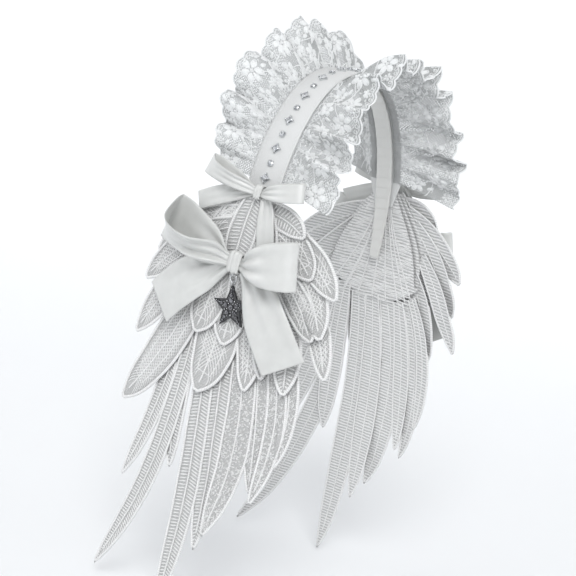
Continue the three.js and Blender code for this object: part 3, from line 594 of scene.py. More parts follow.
# Wings. Each is four tiers of feathers embroidered on net and cut out, one over the other from the long
# primaries up to the shoulder, and stitched together at their roots. Every feather has a raised cord
# round it and a corded shaft, and is filled with slanting ladder stitches, lattice or fine seeding.
# u runs to the back, v down from the wing's top and h outwards, on the wearer's right.
WING_TOP = 74
WING_LENGTH = 275
WING_SPREAD = 78
WING_SWELL = 12
WING_SWELL_LENGTH = 160
WING_WRAP_RADIUS = 170
WING_SEAT = 0.6
RIBBON_TOP = HOOP_THICKNESS + SEAT_GAP + RIBBON_WALL
TIER_PITCH = 2.2
FEATHER_STEP = 0.55
FEATHER_CLOTH = 0.4
FEATHER_LEVEL = 0.1 + FEATHER_CLOTH / 2
OUTLINE_CORD = 2.1
SHAFT_CORD = 1.2
LADDER_PITCH = 2.15
LATTICE_PITCH = 2.9
SEEDS_EACH_SQUARE_MM = 0.36
FEATHER_ALONG = [0, 0.36, 0.68, 0.9, 1]
FEATHER_HALF = [0.6, 0.96, 0.94, 0.52, 0.05]
# Panels: v, reach to the back and to the front. Feathers: root u and v, tip u and v, width and bow, as
# shares of the spread and the length, how far the tip curls out in millimetres, and the filling.
TIERS = {
    "primaries": {
        "flat": (0.13, 0.275, 0.0178),
        "panel": [(0.008, 0.1, 0.1), (0.15, 0.4, 0.36), (0.36, 0.5, 0.48)],
        "feathers": [
            (0.42, 0.26, 0.82, 0.74, 0.16, -0.06, 3, "ladder"),
            (0.3, 0.28, 0.98, 0.985, 0.19, -0.08, 5, "ladder"),
            (0.3, 0.27, 0.29, 0.67, 0.2, 0.02, -1, "ladder"),
            (0.16, 0.28, 0.15, 1, 0.21, -0.04, 3, "ladder"),
            (0.01, 0.28, -0.11, 0.83, 0.22, -0.03, 1, "ladder"),
            (-0.14, 0.28, -0.2, 0.785, 0.24, -0.08, 5, "seeded"),
            (-0.28, 0.28, -0.5, 0.66, 0.17, -0.03, 1, "seeded"),
            (-0.36, 0.27, -0.54, 0.68, 0.15, -0.1, 4, "seeded"),
            (-0.42, 0.26, -0.66, 0.59, 0.13, -0.1, 2, "seeded"),
        ],
    },
    "long_coverts": {
        "flat": (0.16, 0.16, 0.0125),
        "panel": [(0.008, 0.12, 0.12), (0.15, 0.4, 0.42), (0.32, 0.44, 0.46)],
        "feathers": [
            (0.24, 0.14, 0.99, 0.565, 0.36, -0.07, 2, "lattice"),
            (0.12, 0.2, 0.115, 0.47, 0.4, -0.08, 1.5, "lattice"),
            (-0.1, 0.2, -0.32, 0.435, 0.22, -0.05, 2, "lattice"),
            (-0.2, 0.2, -0.43, 0.4, 0.17, -0.04, 1, "lattice"),
            (-0.36, 0.2, -0.64, 0.42, 0.22, -0.06, 3, "ladder"),
            (-0.44, 0.15, -0.93, 0.365, 0.17, -0.05, 5, "lattice"),
        ],
    },
    "short_coverts": {
        "flat": (0.15, 0.11, 0.0115),
        "panel": [(0.008, 0.14, 0.14), (0.12, 0.38, 0.42), (0.25, 0.38, 0.42)],
        "feathers": [
            (0.22, 0.1, 0.95, 0.4, 0.3, 0.02, 2, "lattice"),
            (0.2, 0.14, 0.24, 0.34, 0.34, -0.06, 1, "lattice"),
            (-0.05, 0.16, -0.05, 0.35, 0.3, 0, 0.5, "lattice"),
            (-0.3, 0.14, -0.77, 0.29, 0.2, -0.04, 3, "lattice"),
            (-0.3, 0.08, -0.84, 0.28, 0.24, -0.05, 5, "lattice"),
            (-0.2, 0.05, -0.88, 0.19, 0.22, -0.05, 4, "lattice"),
        ],
    },
    "shoulder": {
        "flat": (0.14, 0.08, 0.0075),
        "panel": [(0.008, 0.16, 0.14), (0.08, 0.28, 0.28), (0.19, 0.24, 0.24)],
        "feathers": [
            (0.04, 0.03, 0.2, 0.1, 0.2, 0.06, 0, "ladder"),
            (-0.04, 0.04, -0.53, 0.075, 0.18, -0.1, 1, "ladder"),
            (0.08, 0.06, 0.88, 0.2, 0.24, 0.06, 1, "lattice"),
            (0.1, 0.09, 0.95, 0.27, 0.26, 0.06, 2, "lattice"),
            (-0.12, 0.06, -0.66, 0.16, 0.26, -0.08, 1, "lattice"),
            (-0.05, 0.015, -0.24, 0.175, 0.26, -0.06, 0, "lattice"),
            (-0.02, 0.015, 0.3, 0.16, 0.26, 0.06, 0, "lattice"),
            (-0.04, 0.01, 0.01, 0.185, 0.26, 0.02, 0, "ladder"),
        ],
    },
}


def on_wing(u, v, h, wrap=WING_WRAP_RADIUS):
    u, v, h = np.broadcast_arrays(u, v, h)
    over = (1 - (WING_TOP + v) / HOOP_HEIGHT).clip(0, 1)
    half = HOOP_HALF_WIDTH * (1 - over**HOOP_ROUNDNESS) ** (1 / HOOP_ROUNDNESS)
    out = half + RIBBON_TOP + WING_SEAT + WING_SWELL * smooth(v, 0, WING_SWELL_LENGTH) + h
    return np.stack([u * u / (2 * wrap) - out, u, -WING_TOP - v], -1)


def wing_normal(u, v, h):
    back = on_wing(u + 0.5, v, h) - on_wing(u - 0.5, v, h)
    down = on_wing(u, v + 0.5, h) - on_wing(u, v - 0.5, h)
    normal = np.cross(down, back)
    return normal / np.linalg.norm(normal, axis=-1, keepdims=True)


class Feather:
    def __init__(self, row, level, over):
        self.over = over
        u0, v0, u1, v1, width, self.bow, self.curl, self.fill = row
        self.root = np.array([u0 * WING_SPREAD, v0 * WING_LENGTH])
        self.run = np.array([u1 * WING_SPREAD, v1 * WING_LENGTH]) - self.root
        self.length = np.hypot(*self.run)
        self.ahead = self.run / self.length
        self.beside = np.array([self.ahead[1], -self.ahead[0]])
        self.width = width * WING_SPREAD
        self.base = level * TIER_PITCH + FEATHER_LEVEL + over * FEATHER_STEP

    def frame(self, along):
        bend = self.bow * self.length * 4 * along * (1 - along)
        slope = self.bow * 4 * (1 - 2 * along)
        spine = self.root + self.run * along[..., None] + self.beside * bend[..., None]
        across = self.beside - self.ahead * slope[..., None]
        across /= np.linalg.norm(across, axis=-1, keepdims=True)
        return spine, across, self.width / 2 * curve_through(along, FEATHER_ALONG, FEATHER_HALF)

    def flat_spot(self, along, side):
        along, side = np.broadcast_arrays(along, side)
        spine, across, half = self.frame(along)
        return spine + across * (half * side)[..., None]

    def height(self, along, side):
        curl = self.curl * smooth(along, 0.5, 1) ** 1.5
        wave = 0.12 * np.sin(along * self.length / 6 + 2 * side)
        return self.base + curl + 0.25 * (1 - side * side) + wave

    def spot(self, along, side, lift=0.0):
        place = self.flat_spot(along, side)
        return on_wing(place[..., 0], place[..., 1], self.height(along, side) + lift)

    def normal(self, along, side):
        place = self.flat_spot(along, side)
        return wing_normal(place[..., 0], place[..., 1], self.base)

    # Whether flat places lie inside the feather.
    def holds(self, place):
        along = ((place - self.root) @ self.ahead) / self.length
        spine, across, half = self.frame(along.clip(0, 1))
        side = ((place - spine) * across).sum(-1) / half
        return (along > 0.02) & (along < 0.99) & (np.abs(side) < 0.97)

    # Which places along it no feather in that list hides.
    def shown(self, along, side, under):
        place = self.flat_spot(along, side)
        hidden = np.zeros(len(along), bool)
        for feather in under:
            hidden |= feather.holds(place)
        return ~hidden

    # Threads across the feather, without those that another feather hides.
    def threads(self, along, side, width, height, lift, sides=4, under=()):
        along, side = np.broadcast_arrays(along, side)
        middle = along.shape[1] // 2
        shown = self.shown(along[:, middle], side[:, middle], under)
        along, side = along[shown], side[shown]
        if not len(along):
            return None
        path = self.spot(along, side, FEATHER_CLOTH / 2 + lift)
        return lay_threads(path, self.normal(along, side), width, height, sides)

    # A cord along the feather, cut where another feather lies over it.
    def cord(self, along, side, width, height, lift, under):
        groups = []
        shown = np.flatnonzero(self.shown(along, side, under))
        for run in np.split(shown, np.flatnonzero(np.diff(shown) > 1) + 1):
            if len(run) > 2:
                path = slice(run[0], run[-1] + 1)
                groups.append(self.threads(along[None, path], side[None, path], width, height, lift, 5))
        return groups


# The fillings. Each gives rows of (along, side) paths over one feather.
def ladder_filling(feather, rng):
    rungs = np.arange(0.02, 0.985, LADDER_PITCH / feather.length)[:, None]
    share = np.linspace(0.13, 0.87, 4)[None, :]
    groups = []
    for side in (-1, 1):
        slant = 0.28 * feather.width / 2 / feather.length
        along = rungs + slant * (share - 0.5) + rng.uniform(-0.15, 0.15, rungs.shape) / feather.length
        groups.append((along.clip(0, 1), side * share + 0 * along, 1.2, 0.7))
    return groups


def lattice_filling(feather, rng):
    groups = []
    step = LATTICE_PITCH / feather.length
    for lean in (-1, 1):
        starts = np.arange(-0.12, 1.02, step)[:, None]
        share = np.linspace(-0.84, 0.84, 7)[None, :]
        along = starts + lean * 0.55 * feather.width / feather.length * share
        inside = ((along > 0.03) & (along < 0.95)).all(1)
        groups.append((along[inside], (share + 0 * along)[inside], 0.75, 0.55))
    return groups


def seeded_filling(feather, rng):
    count = int(feather.length * feather.width * SEEDS_EACH_SQUARE_MM)
    middle = rng.uniform(0.02, 0.97, count)[:, None]
    side = rng.uniform(-0.86, 0.86, count)[:, None]
    angle = rng.normal(0.4, 0.7, count)[:, None]
    reach = np.linspace(-0.75, 0.75, 3)[None, :]
    along = middle + reach * np.sin(angle) / feather.length
    side = side + reach * np.cos(angle) / feather.width * 2
    return [(along.clip(0, 1), side.clip(-0.9, 0.9), 0.8, 0.6)]


FILLINGS = {"ladder": ladder_filling, "lattice": lattice_filling, "seeded": seeded_filling}

# The embroidery's ground: greyish net under the stitches, close enough to look like cloth. Its holes are
# painted dark grey between its paler threads, a painted shade in the open net.
wing_ground, shader = new_material("embroidery ground", (0.6, 0.6, 0.6), 0.9, Sheen_Weight=0.15)
flat_place = add_node(wing_ground, "UVMap").outputs["UV"]
holes = net_holes(wing_ground, flat_place, 1.15, 0.35)
holes = add_node(wing_ground, "MapRange", Value=holes, From_Min=0.08, From_Max=0.3)
# Painted shade: the net's holes are dark grey, its raised threads pale.
two_tones(wing_ground, shader, holes.outputs[0], (0.66, 0.66, 0.655), (0.3, 0.3, 0.3))
raise_bump(wing_ground, shader, add_math(wing_ground, "SUBTRACT", 1.0, holes.outputs[0]), 0.0003, 0.8)
wing_cord = thread_material("embroidery cord", (0.92, 0.92, 0.915), (0.52, 0.52, 0.515), 1.3)
wing_thread = thread_material("embroidery thread", (0.92, 0.92, 0.915), (0.58, 0.58, 0.575), 0.9)

# Its reverse: the same rows of stitches, flatter and closer, as the lower thread leaves them. Its colour is
# painted darker between the rows and where the fibres dip, a painted shade in the grooves.
wing_reverse, shader = new_material("embroidery reverse", (0.7, 0.7, 0.7), 0.85, Sheen_Weight=0.2)
flat_place = add_node(wing_reverse, "UVMap").outputs["UV"]
rows = add_node(wing_reverse, "TexWave", Vector=flat_place, Scale=0.15, Distortion=1.6, Detail_Scale=1.2)
rows.bands_direction = "Y"
fibres = add_node(wing_reverse, "TexNoise", Vector=flat_place, Scale=1.1, Detail=4.0).outputs[0]
fibres = add_math(wing_reverse, "SUBTRACT", fibres, 0.4)
row_relief_and_shade = add_math(wing_reverse, "MULTIPLY_ADD", rows.outputs["Fac"], 0.8, fibres)
# Painted shade: darker between the rows of stitches, lighter on their crowns.
two_tones(wing_reverse, shader, row_relief_and_shade, (0.4, 0.4, 0.4), (0.84, 0.84, 0.835))
raise_bump(wing_reverse, shader, row_relief_and_shade, 0.0004, 0.8)


# A piece on the wearer's right and its mirror image on the left.
def add_pair(name, points, faces, flat, slot, materials, replaces=()):
    pair = []
    for side in ("right", "left"):
        placed = np.asarray(points).reshape(-1, 3) * ((1, 1, 1) if side == "right" else (-1, 1, 1))
        turned = faces if side == "right" else turned_over(faces)
        names = [f"{node}_{side}" for node in replaces]
        pair.append(add_piece(f"{name}_{side}", placed, turned, flat, slot, materials, names))
    return pair


rng = np.random.default_rng(21)
tiers = [
    [Feather(row, level, k % 2 if k < 7 or level < 3 else 1.5) for k, row in enumerate(tier["feathers"])]
    for level, tier in enumerate(TIERS.values())
]
for level, (name, tier) in enumerate(TIERS.items()):
    # Ground, one sheet of panel and feathers.
    v, back, front = (np.array(column) for column in zip(*tier["panel"]))
    rows = np.linspace(v[0], v[-1], 26)[:, None]
    to_back, to_front = (curve_through(rows, v, reach) for reach in (back, front))
    u = -to_front + (to_front + to_back) * np.linspace(0, 1, 17)[None, :]
    if level == 0:
        rows = rows * (1 - 0.18 * smooth(rows, 0.2, 0.36) * (1 + (2 * u) ** 2))
    u, rows = np.broadcast_arrays(u * WING_SPREAD, rows * WING_LENGTH)
    panel = on_wing(u, rows, level * TIER_PITCH + FEATHER_LEVEL)
    grounds = [(panel.reshape(-1, 3), grid_faces(26, 17), side_by_side(u, rows).reshape(-1, 2))]
    for feather in tiers[level]:
        steps = int(feather.length / 2)
        along, side = np.meshgrid(np.linspace(0, 1, steps), np.linspace(-1, 1, 11), indexing="ij")
        points, flat = feather.spot(along, side), feather.flat_spot(along, side)
        grounds.append((points.reshape(-1, 3), grid_faces(steps, 11), flat.reshape(-1, 2)))
    slot, cloths = "embroidered_lace", [wing_ground, wing_reverse]
    grounds = add_pair(f"wing_{name}_ground", *join_threads(grounds), slot, cloths, [f"wing_{name}"])
    for ground in grounds:
        apply_modifier(ground, "SOLIDIFY", thickness=FEATHER_CLOTH / 1000, offset=0, material_offset=1)

    # Cords round each feather and along its shaft, then its filling.
    cords, stitches = [], []
    above = [feather for tier in tiers[level + 1 :] for feather in tier]
    below = [feather for tier in tiers[:level] for feather in tier]
    for k, feather in enumerate(tiers[level]):
        under = [other for other in tiers[level] if other.over > feather.over]
        steps = int(feather.length / 1.5)
        along = np.linspace(0, 0.985, steps)
        round_tip = np.concatenate([along, along[::-1]])
        sides = np.concatenate([-np.ones(steps), np.ones(steps)]) * 0.97
        thick = OUTLINE_CORD * (1 if level else 0.85)
        cords += feather.cord(round_tip, sides, thick, thick * 0.85, 0.3, under + above)
        shaft = np.linspace(0.0, 0.93, steps)
        cords += feather.cord(shaft, 0 * shaft, SHAFT_CORD, SHAFT_CORD, 0.25, under + above)
        behind = below + [other for other in tiers[level] if other.over < feather.over]
        cords += feather.cord(round_tip, sides, thick * 0.8, 0.7, -FEATHER_CLOTH - 0.15, behind)
        cords += feather.cord(shaft, 0 * shaft, SHAFT_CORD * 0.8, 0.5, -FEATHER_CLOTH - 0.1, behind)
        if feather.fill == "lattice":
            inner = np.concatenate([along, along[::-1]]) * 0.8 + 0.04
            cords += feather.cord(inner, sides * 0.5, 0.9, 0.8, 0.2, under + above)
        for fill_along, fill_side, width, height in FILLINGS[feather.fill](feather, rng):
            laid = feather.threads(fill_along, fill_side, width, height, 0.12, 4, under + above)
            if laid:
                stitches.append(laid)
    if level == 0:
        # The reverse of the panel, inside the wing: quills and rows of stitches.
        place = np.linspace(0, 1, 40)[None, :]
        for feather in tiers[0]:
            quill_u = feather.root[0] * (0.12 + 0.88 * place**1.5)
            quill_v = 4 + (feather.root[1] - 2) * place
            path = on_wing(quill_u, quill_v, FEATHER_LEVEL - FEATHER_CLOTH / 2 - 0.15)
            cords.append(lay_threads(path, wing_normal(quill_u, quill_v, 0), SHAFT_CORD, 0.6, 5))
        for row_v in np.arange(6, 0.29 * WING_LENGTH, LADDER_PITCH * 1.2):
            half = np.interp(row_v / WING_LENGTH, v, front) * WING_SPREAD
            row_u = half * np.linspace(-0.97, 0.97, 40)[None, :]
            wavy = row_v + 1.1 * np.abs(np.sin(row_u / 6)) + 0 * row_u
            path = on_wing(row_u, wavy, FEATHER_LEVEL - FEATHER_CLOTH / 2 - 0.1)
            stitches.append(lay_threads(path, wing_normal(row_u, wavy, 0), 1.2, 0.4, 4))
    cord_pair = add_pair(f"wing_{name}_cords", *join_threads(cords), slot, [wing_cord])
    stitch_pair = add_pair(f"wing_{name}_stitches", *join_threads(stitches), slot, [wing_thread])
    width, length, area = tier["flat"]

# Bows. A small one of narrow satin ribbon at each wing's top and a large one of wide ribbon below it.
# One strip makes both loops and another both tails; a short gathered sleeve of the same ribbon holds
# them, and the knot is sewn through the wing. Lengths are shares of the ribbon's width.
BOW_WRAP_RADIUS = 330
SATIN_WALL = 1
SATIN_CLOTH = 0.4
KNOT_EXIT = 0.6
BOW_GAP = 0.3
LOOP_STAND = math.radians(46)
FOLD_DEPTH_SHARE = 0.05
PUFF_SHARE = 0.14
GROOVE_SHARE = 0.05
WING_FRONT = 3 * TIER_PITCH + 1.2 + 0.4
BOWS = {
    "large": {
        "ribbon": 29,
        "satin": "wide satin",
        "base": WING_FRONT,
        "place": (-0.046, 0.16),
        "knot": {"pinch": 0.276, "slack": 0.055, "length": 0.31, "axis": -4},
        "rear": {"sign": 1, "direction": -19, "length": 1.96, "rise": 0.26, "open": 1},
        "front": {"sign": -1, "direction": 12, "length": 1.6, "rise": 0.41, "open": 0},
        "rearTail": {"sign": 1, "du": 1.83, "dv": 1.345, "swing": 0.14, "hump": 0.14},
        "downTail": {"sign": -1, "du": -1.64, "dv": 1.86, "swing": 0.16, "hump": 0.14},
    },
    "small": {
        "ribbon": 12,
        "satin": "narrow satin",
        "base": WING_FRONT - 0.4 - BOW_GAP,
        "place": (-0.083, 0),
        "knot": {"pinch": 0.417, "slack": 0.1, "length": 0.417, "axis": -3},
        "rear": {"sign": 1, "direction": -15, "length": 3.42, "rise": 0.5, "open": 0.5},
        "front": {"sign": -1, "direction": 12, "length": 2.75, "rise": 0.5, "open": 0},
        "rearTail": {"sign": 1, "du": 3.67, "dv": 1.25, "swing": 0.33, "hump": 0.125},
        "downTail": {"sign": -1, "du": -1.25, "dv": 3, "swing": 0.25, "hump": 0.125},
    },
}
# Rows of a loop: share of its length, of its rise, of the full width, over or under, how far the upper
# layer stands up on its lower edge, the depth of its folds, and how far its lower edge puffs out.
LOOP_ROWS = [
    (0, 0, 0, 0, 0, 0.3, 0),
    (0.25, 0.2, 0.66, 0, 0, 0.5, 0),
    (0.6, 0.27, 0.97, 0, 0, 0.2, 0),
    (0.93, 0.28, 1, 0, 0, 0, 0),
    (1, 0.5, 1, 0.5, 0, 0, 0),
    (0.99, 0.72, 1, 1, 0.04, 0, 0),
    (0.92, 0.92, 1, 1, 0.35, 0, 0),
    (0.8, 1, 0.96, 1, 0.9, 0.1, 0),
    (0.62, 1, 0.88, 1, 1.05, 0.3, 0.4),
    (0.4, 0.84, 0.72, 1, 1, 0.8, 1),
    (0.16, 0.44, 0.36, 1, 0.3, 1, 0.7),
    (0, 0, 0, 1, 0, 0.3, 0),
]
# Rows of a tail, from its cut end to the knot: share of its length, lift, width, depth of its folds.
TAIL_ROWS = [
    (1, 0.1, 1, 0),
    (0.8, 0.8, 1, 0.15),
    (0.58, 1, 0.96, 0.4),
    (0.36, 0.35, 0.78, 0.7),
    (0.18, 0.05, 0.42, 0.8),
    (0.04, 0, 0.1, 0.4),
]


class Bow:
    def __init__(self, shape):
        self.shape = shape
        self.ribbon = shape["ribbon"]
        self.u = shape["place"][0] * WING_SPREAD
        self.v = shape["place"][1] * WING_LENGTH
        knot = shape["knot"]
        self.pinch = knot["pinch"] * self.ribbon
        self.slack = knot["slack"] * self.ribbon
        self.knot_length = knot["length"] * self.ribbon
        self.axis = math.radians(knot["axis"])
        self.tail = shape["base"] + BOW_GAP + 1 + 2 * BOW_GAP
        self.under = self.tail + 2 * SATIN_WALL + BOW_GAP
        self.over = self.under + BOW_GAP
        top = self.over + SATIN_WALL
        self.middle = (self.tail + top) / 2
        self.half_height = (top - self.tail) / 2 + 2 * BOW_GAP
        self.across = np.linspace(-1, 1, 25 if self.ribbon > 20 else 15)

    def knot_spot(self, share):
        reach = share * self.knot_length
        return np.array([self.u + reach * math.cos(self.axis), self.v + reach * math.sin(self.axis)])

    def width(self, share):
        return self.pinch + (self.ribbon - self.pinch) * share

    # One row of (u, v, h) points across the ribbon. It stands up on its lower edge by the angle stand,
    # and its folds run along the ribbon.
    def row(self, centre, h, direction, width, stand=0.0, folds=0.0, puff=0.0):
        down = np.array([-math.sin(direction), math.cos(direction)])
        reach = width / 2 - (1 - self.across) * width / 2 * math.cos(stand)
        lift = (1 - self.across) * width / 2 * math.sin(stand)
        ripple = folds * self.ribbon * FOLD_DEPTH_SHARE * np.cos(2.6 * math.pi * self.across + 0.5)
        ripple = ripple + puff * self.ribbon * PUFF_SHARE * np.exp(-(((self.across - 0.68) / 0.3) ** 2))
        ripple = ripple - puff * self.ribbon * GROOVE_SHARE * np.exp(-(((self.across - 0.1) / 0.25) ** 2))
        place = centre + down * reach[:, None]
        return np.column_stack([place, h + SATIN_WALL / 2 + lift + ripple])

    def loop_rows(self, loop):
        exit_spot = self.knot_spot(loop["sign"] * KNOT_EXIT)
        run = loop["length"] * self.ribbon - KNOT_EXIT * self.knot_length
        rows = []
        for along, rise, width, over, stand, folds, puff in LOOP_ROWS:
            direction = math.radians(loop["direction"]) if along else self.axis
            ahead = np.array([math.cos(direction), math.sin(direction)])
            rows.append(
                self.row(
                    exit_spot + ahead * loop["sign"] * along * run,
                    self.under + (self.over - self.under) * over + rise * loop["rise"] * self.ribbon,
                    direction,
                    self.width(width),
                    LOOP_STAND * stand * loop["open"],
                    folds,
                    puff * loop["open"],
                )
            )
        return rows

    def held(self, share, h):
        return self.row(self.knot_spot(share), h, self.axis, self.pinch, 0, 0.3)

    def loops(self):
        held = [self.held(0.12, self.under), self.held(0, self.over), self.held(-0.12, self.under)]
        rear = self.loop_rows(self.shape["rear"])
        front = self.loop_rows(self.shape["front"])[::-1]
        return [held[0], *rear, held[1], *front, held[2]]

    def tail_rows(self, tail):
        sign, ribbon = tail["sign"], self.ribbon
        start = self.knot_spot(sign * KNOT_EXIT)
        middle_u = self.u + tail["du"] * ribbon * 0.42 + sign * tail["swing"] * ribbon
        middle = np.array([middle_u, self.v + tail["dv"] * ribbon * 0.3])
        end = np.array([self.u + tail["du"] * ribbon, self.v + tail["dv"] * ribbon])
        rows = []
        for along, lift, width, folds in TAIL_ROWS:
            centre = (1 - along) ** 2 * start + 2 * along * (1 - along) * middle + along**2 * end
            ahead = (2 * (1 - along) * (middle - start) + 2 * along * (end - middle)) * sign
            direction = math.atan2(ahead[1], ahead[0])
            h = self.tail + tail["hump"] * ribbon * lift
            rows.append(self.row(centre, h, direction, self.width(width), 0, folds))
        return rows

    def tails(self):
        held = [self.held(KNOT_EXIT, self.tail), self.held(-KNOT_EXIT, self.tail)]
        return [*self.tail_rows(self.shape["rearTail"]), *held, *self.tail_rows(self.shape["downTail"])[::-1]]

    # A smooth strip through the rows, with its UV map in millimetres.
    def strip(self, rows):
        rows = np.array(rows)
        middle = rows[:, len(self.across) // 2]
        steps = np.linalg.norm(np.diff(middle, axis=0), axis=1).clip(0.6)
        places = np.concatenate([[0], np.cumsum(steps)])
        count = int(places[-1] / (1.1 if self.ribbon > 20 else 0.8))
        along = np.linspace(0, places[-1], count)
        columns = [curve_through(along, places, column) for column in rows.reshape(len(rows), -1).T]
        fine = np.stack(columns, -1).reshape(count, rows.shape[1], 3)
        points = on_wing(fine[..., 0], fine[..., 1], fine[..., 2], BOW_WRAP_RADIUS)
        flat = side_by_side(self.across[None] * self.ribbon / 2, along[:, None])
        return points, turned_over(grid_faces(count, rows.shape[1])), flat, places[-1]

    # The knot's sleeve, gathered into folds that run round it.
    def knot(self):
        angle = np.linspace(0, 2 * math.pi, 56, endpoint=False)[:, None]
        share = np.linspace(-0.5, 0.5, 19)[None, :]
        c, s = fuller(np.cos(angle), 0.5), fuller(np.sin(angle), 0.5)
        folds = 0.32 * np.cos(2 * math.pi * (3 * share + 0.12 * np.sin(angle * 2)) + 0.8)
        thick = np.sqrt((1 - (2 * share) ** 2).clip(0)) * (1.25 + folds) * np.where(s < 0, 0.6, 1)
        thick = np.concatenate([thick, 0 * thick[:, ::-6]], 1)
        share = np.concatenate([share, share[:, ::-6]], 1)
        size = self.ribbon / BOWS["large"]["ribbon"]
        out = c * (self.pinch / 2 + self.slack + thick * (0.4 + 0.6 * size))
        lift = s * (self.half_height + thick * (0.5 + 0.5 * size))
        reach = share * self.knot_length
        u = self.u + reach * math.cos(self.axis) - out * math.sin(self.axis)
        v = self.v + reach * math.sin(self.axis) + out * math.cos(self.axis)
        points = on_wing(u, v, self.middle + lift, BOW_WRAP_RADIUS)
        rows, columns = points.shape[:2]
        faces = grid_faces(rows, columns, around=True)
        last = (rows - 1) * columns
        faces += [[last + j, last + (j + 1) % columns, (j + 1) % columns, j] for j in range(columns)]
        flat = side_by_side(share * self.ribbon, angle * self.ribbon / 5)
        return points, turned_over(faces), flat


for size, shape in BOWS.items():
    bow = Bow(shape)
    satin = satin_material(shape["satin"], shape["ribbon"] / 2, (0.66, 0.665, 0.65), (0.53, 0.535, 0.52))
    knots = add_pair(f"{size}_knot_satin", *bow.knot(), "satin_ribbon", [satin], [f"{size}_bow_knot"])
    for part, rows, held in (("loops", bow.loops(), "folded"), ("tails", bow.tails(), "hung")):
        points, faces, flat, length = bow.strip(rows)
        name = f"{size}_{part}_satin"
        strips = add_pair(name, points, faces, flat, "satin_ribbon", [satin], [f"{size}_bow_{part}"])
        for knot, strip in zip(knots, strips):
            apply_modifier(strip, "SOLIDIFY", thickness=SATIN_CLOTH / 1000, offset=0)

# Stones. Clear cut stones in polished claw settings, pressed through the ribbon along its middle: square
# ones set corner to corner, in settings with hollow sides and a claw at each corner, and between them
# small round ones in cups with four claws. Each kind is made once, flat, and copied along the hoop.
SQUARE_REACH = 3.6
SQUARE_ROOM = 3.7
ROUND_REACH = 2.05
STONES_EACH_SIDE = 11
STONE_TO_WING = 2.4
STONE_SEAT = HOOP_THICKNESS + 1.15


# Metal or enamel, a little uneven in tone and polish.
def worn_material(name, dark, light, scale, polished, dull, **sockets):
    material, shader = new_material(name, light, polished, **sockets)
    wear = object_noise(material, scale, 4.0)
    two_tones(material, shader, wear, dark, light)
    roughness = add_node(material, "MapRange", Value=wear, To_Min=polished, To_Max=dull).outputs[0]
    material.node_tree.links.new(roughness, shader.inputs["Roughness"])
    return material


# A cut stone, whose facets are painted dark and light by turns: painted glints and reflections.
def stone_material(name, dark, light, scale, roughness, **sockets):
    material, shader = new_material(name, light, roughness, Coat_Weight=1.0, **sockets)
    place = add_node(material, "TexCoord").outputs["Object"]
    facets = add_node(material, "TexVoronoi", Vector=place, Scale=scale).outputs["Color"]
    painted_glints = add_node(material, "SeparateXYZ", Vector=facets).outputs["X"]
    # Painted glints: each facet cell gets a tone between dark and light, standing for reflections.
    two_tones(material, shader, painted_glints, dark, light)
    return material


silver = worn_material("claw silver", (0.5, 0.51, 0.52), (0.84, 0.85, 0.86), 420.0, 0.1, 0.34, Metallic=1.0)
crystal = stone_material(
    "foiled crystal", (0.3, 0.32, 0.34), (0.95, 0.96, 0.97), 900.0, 0.04, Metallic=0.75, Coat_Roughness=0.02
)


# Opens the form for editing, with the faces or edges chosen that pass a test. A face is tested by its
# centre and normal, an edge by its two ends, in millimetres.
def edit(kind, test):
    bpy.ops.object.mode_set(mode="OBJECT")
    mesh = bpy.context.object.data
    for parts in (mesh.vertices, mesh.edges, mesh.polygons):
        parts.foreach_set("select", np.zeros(len(parts), bool))
    if kind == "FACE":
        chosen = [bool(test(face.center * 1000, face.normal)) for face in mesh.polygons]
        mesh.polygons.foreach_set("select", chosen)
    else:
        ends = [[mesh.vertices[k].co * 1000 for k in edge.vertices] for edge in mesh.edges]
        mesh.edges.foreach_set("select", [bool(test(*pair)) for pair in ends])
    bpy.ops.object.mode_set(mode="EDIT")
    bpy.ops.mesh.select_mode(type=kind)


def start_form(kind, **settings):
    if bpy.context.object and bpy.context.object.mode != "OBJECT":
        bpy.ops.object.mode_set(mode="OBJECT")
    bpy.ops.object.select_all(action="DESELECT")
    getattr(bpy.ops.mesh, f"primitive_{kind}_add")(**settings)
    bpy.ops.object.transform_apply(location=True, rotation=True, scale=True)
    return bpy.context.object


def cylinder(sides, radius, depth, x, y, middle):
    place = (x / 1000, y / 1000, middle / 1000)
    return start_form("cylinder", vertices=sides, radius=radius / 1000, depth=depth / 1000, location=place)


# Insets the top face in steps of so much inwards and upwards, and gives the form its material.
def inset_top(material, level, *steps):
    for thickness, depth in steps:
        edit("FACE", lambda centre, normal: normal.z > 0.95 and centre.z > level)
        bpy.ops.mesh.inset(thickness=thickness / 1000, depth=depth / 1000)
        level += depth - (0.001 if depth < 0 else 0.01)
    bpy.ops.object.mode_set(mode="OBJECT")
    bpy.context.object.data.materials.append(material)
    return bpy.context.object


def join_forms(name, forms):
    bpy.ops.object.select_all(action="DESELECT")
    for form in forms:
        form.select_set(True)
    bpy.context.view_layer.objects.active = forms[0]
    bpy.ops.object.join()
    joined = bpy.context.object
    joined.name = joined.data.name = name
    return joined


def claw(x, y, height, radius):
    form = cylinder(8, radius, height, x, y, height / 2)
    inset_top(silver, height - 0.05, (radius * 0.35, radius * 0.35), (radius * 0.3, radius * 0.12))
    form.data.shade_smooth()
    return form


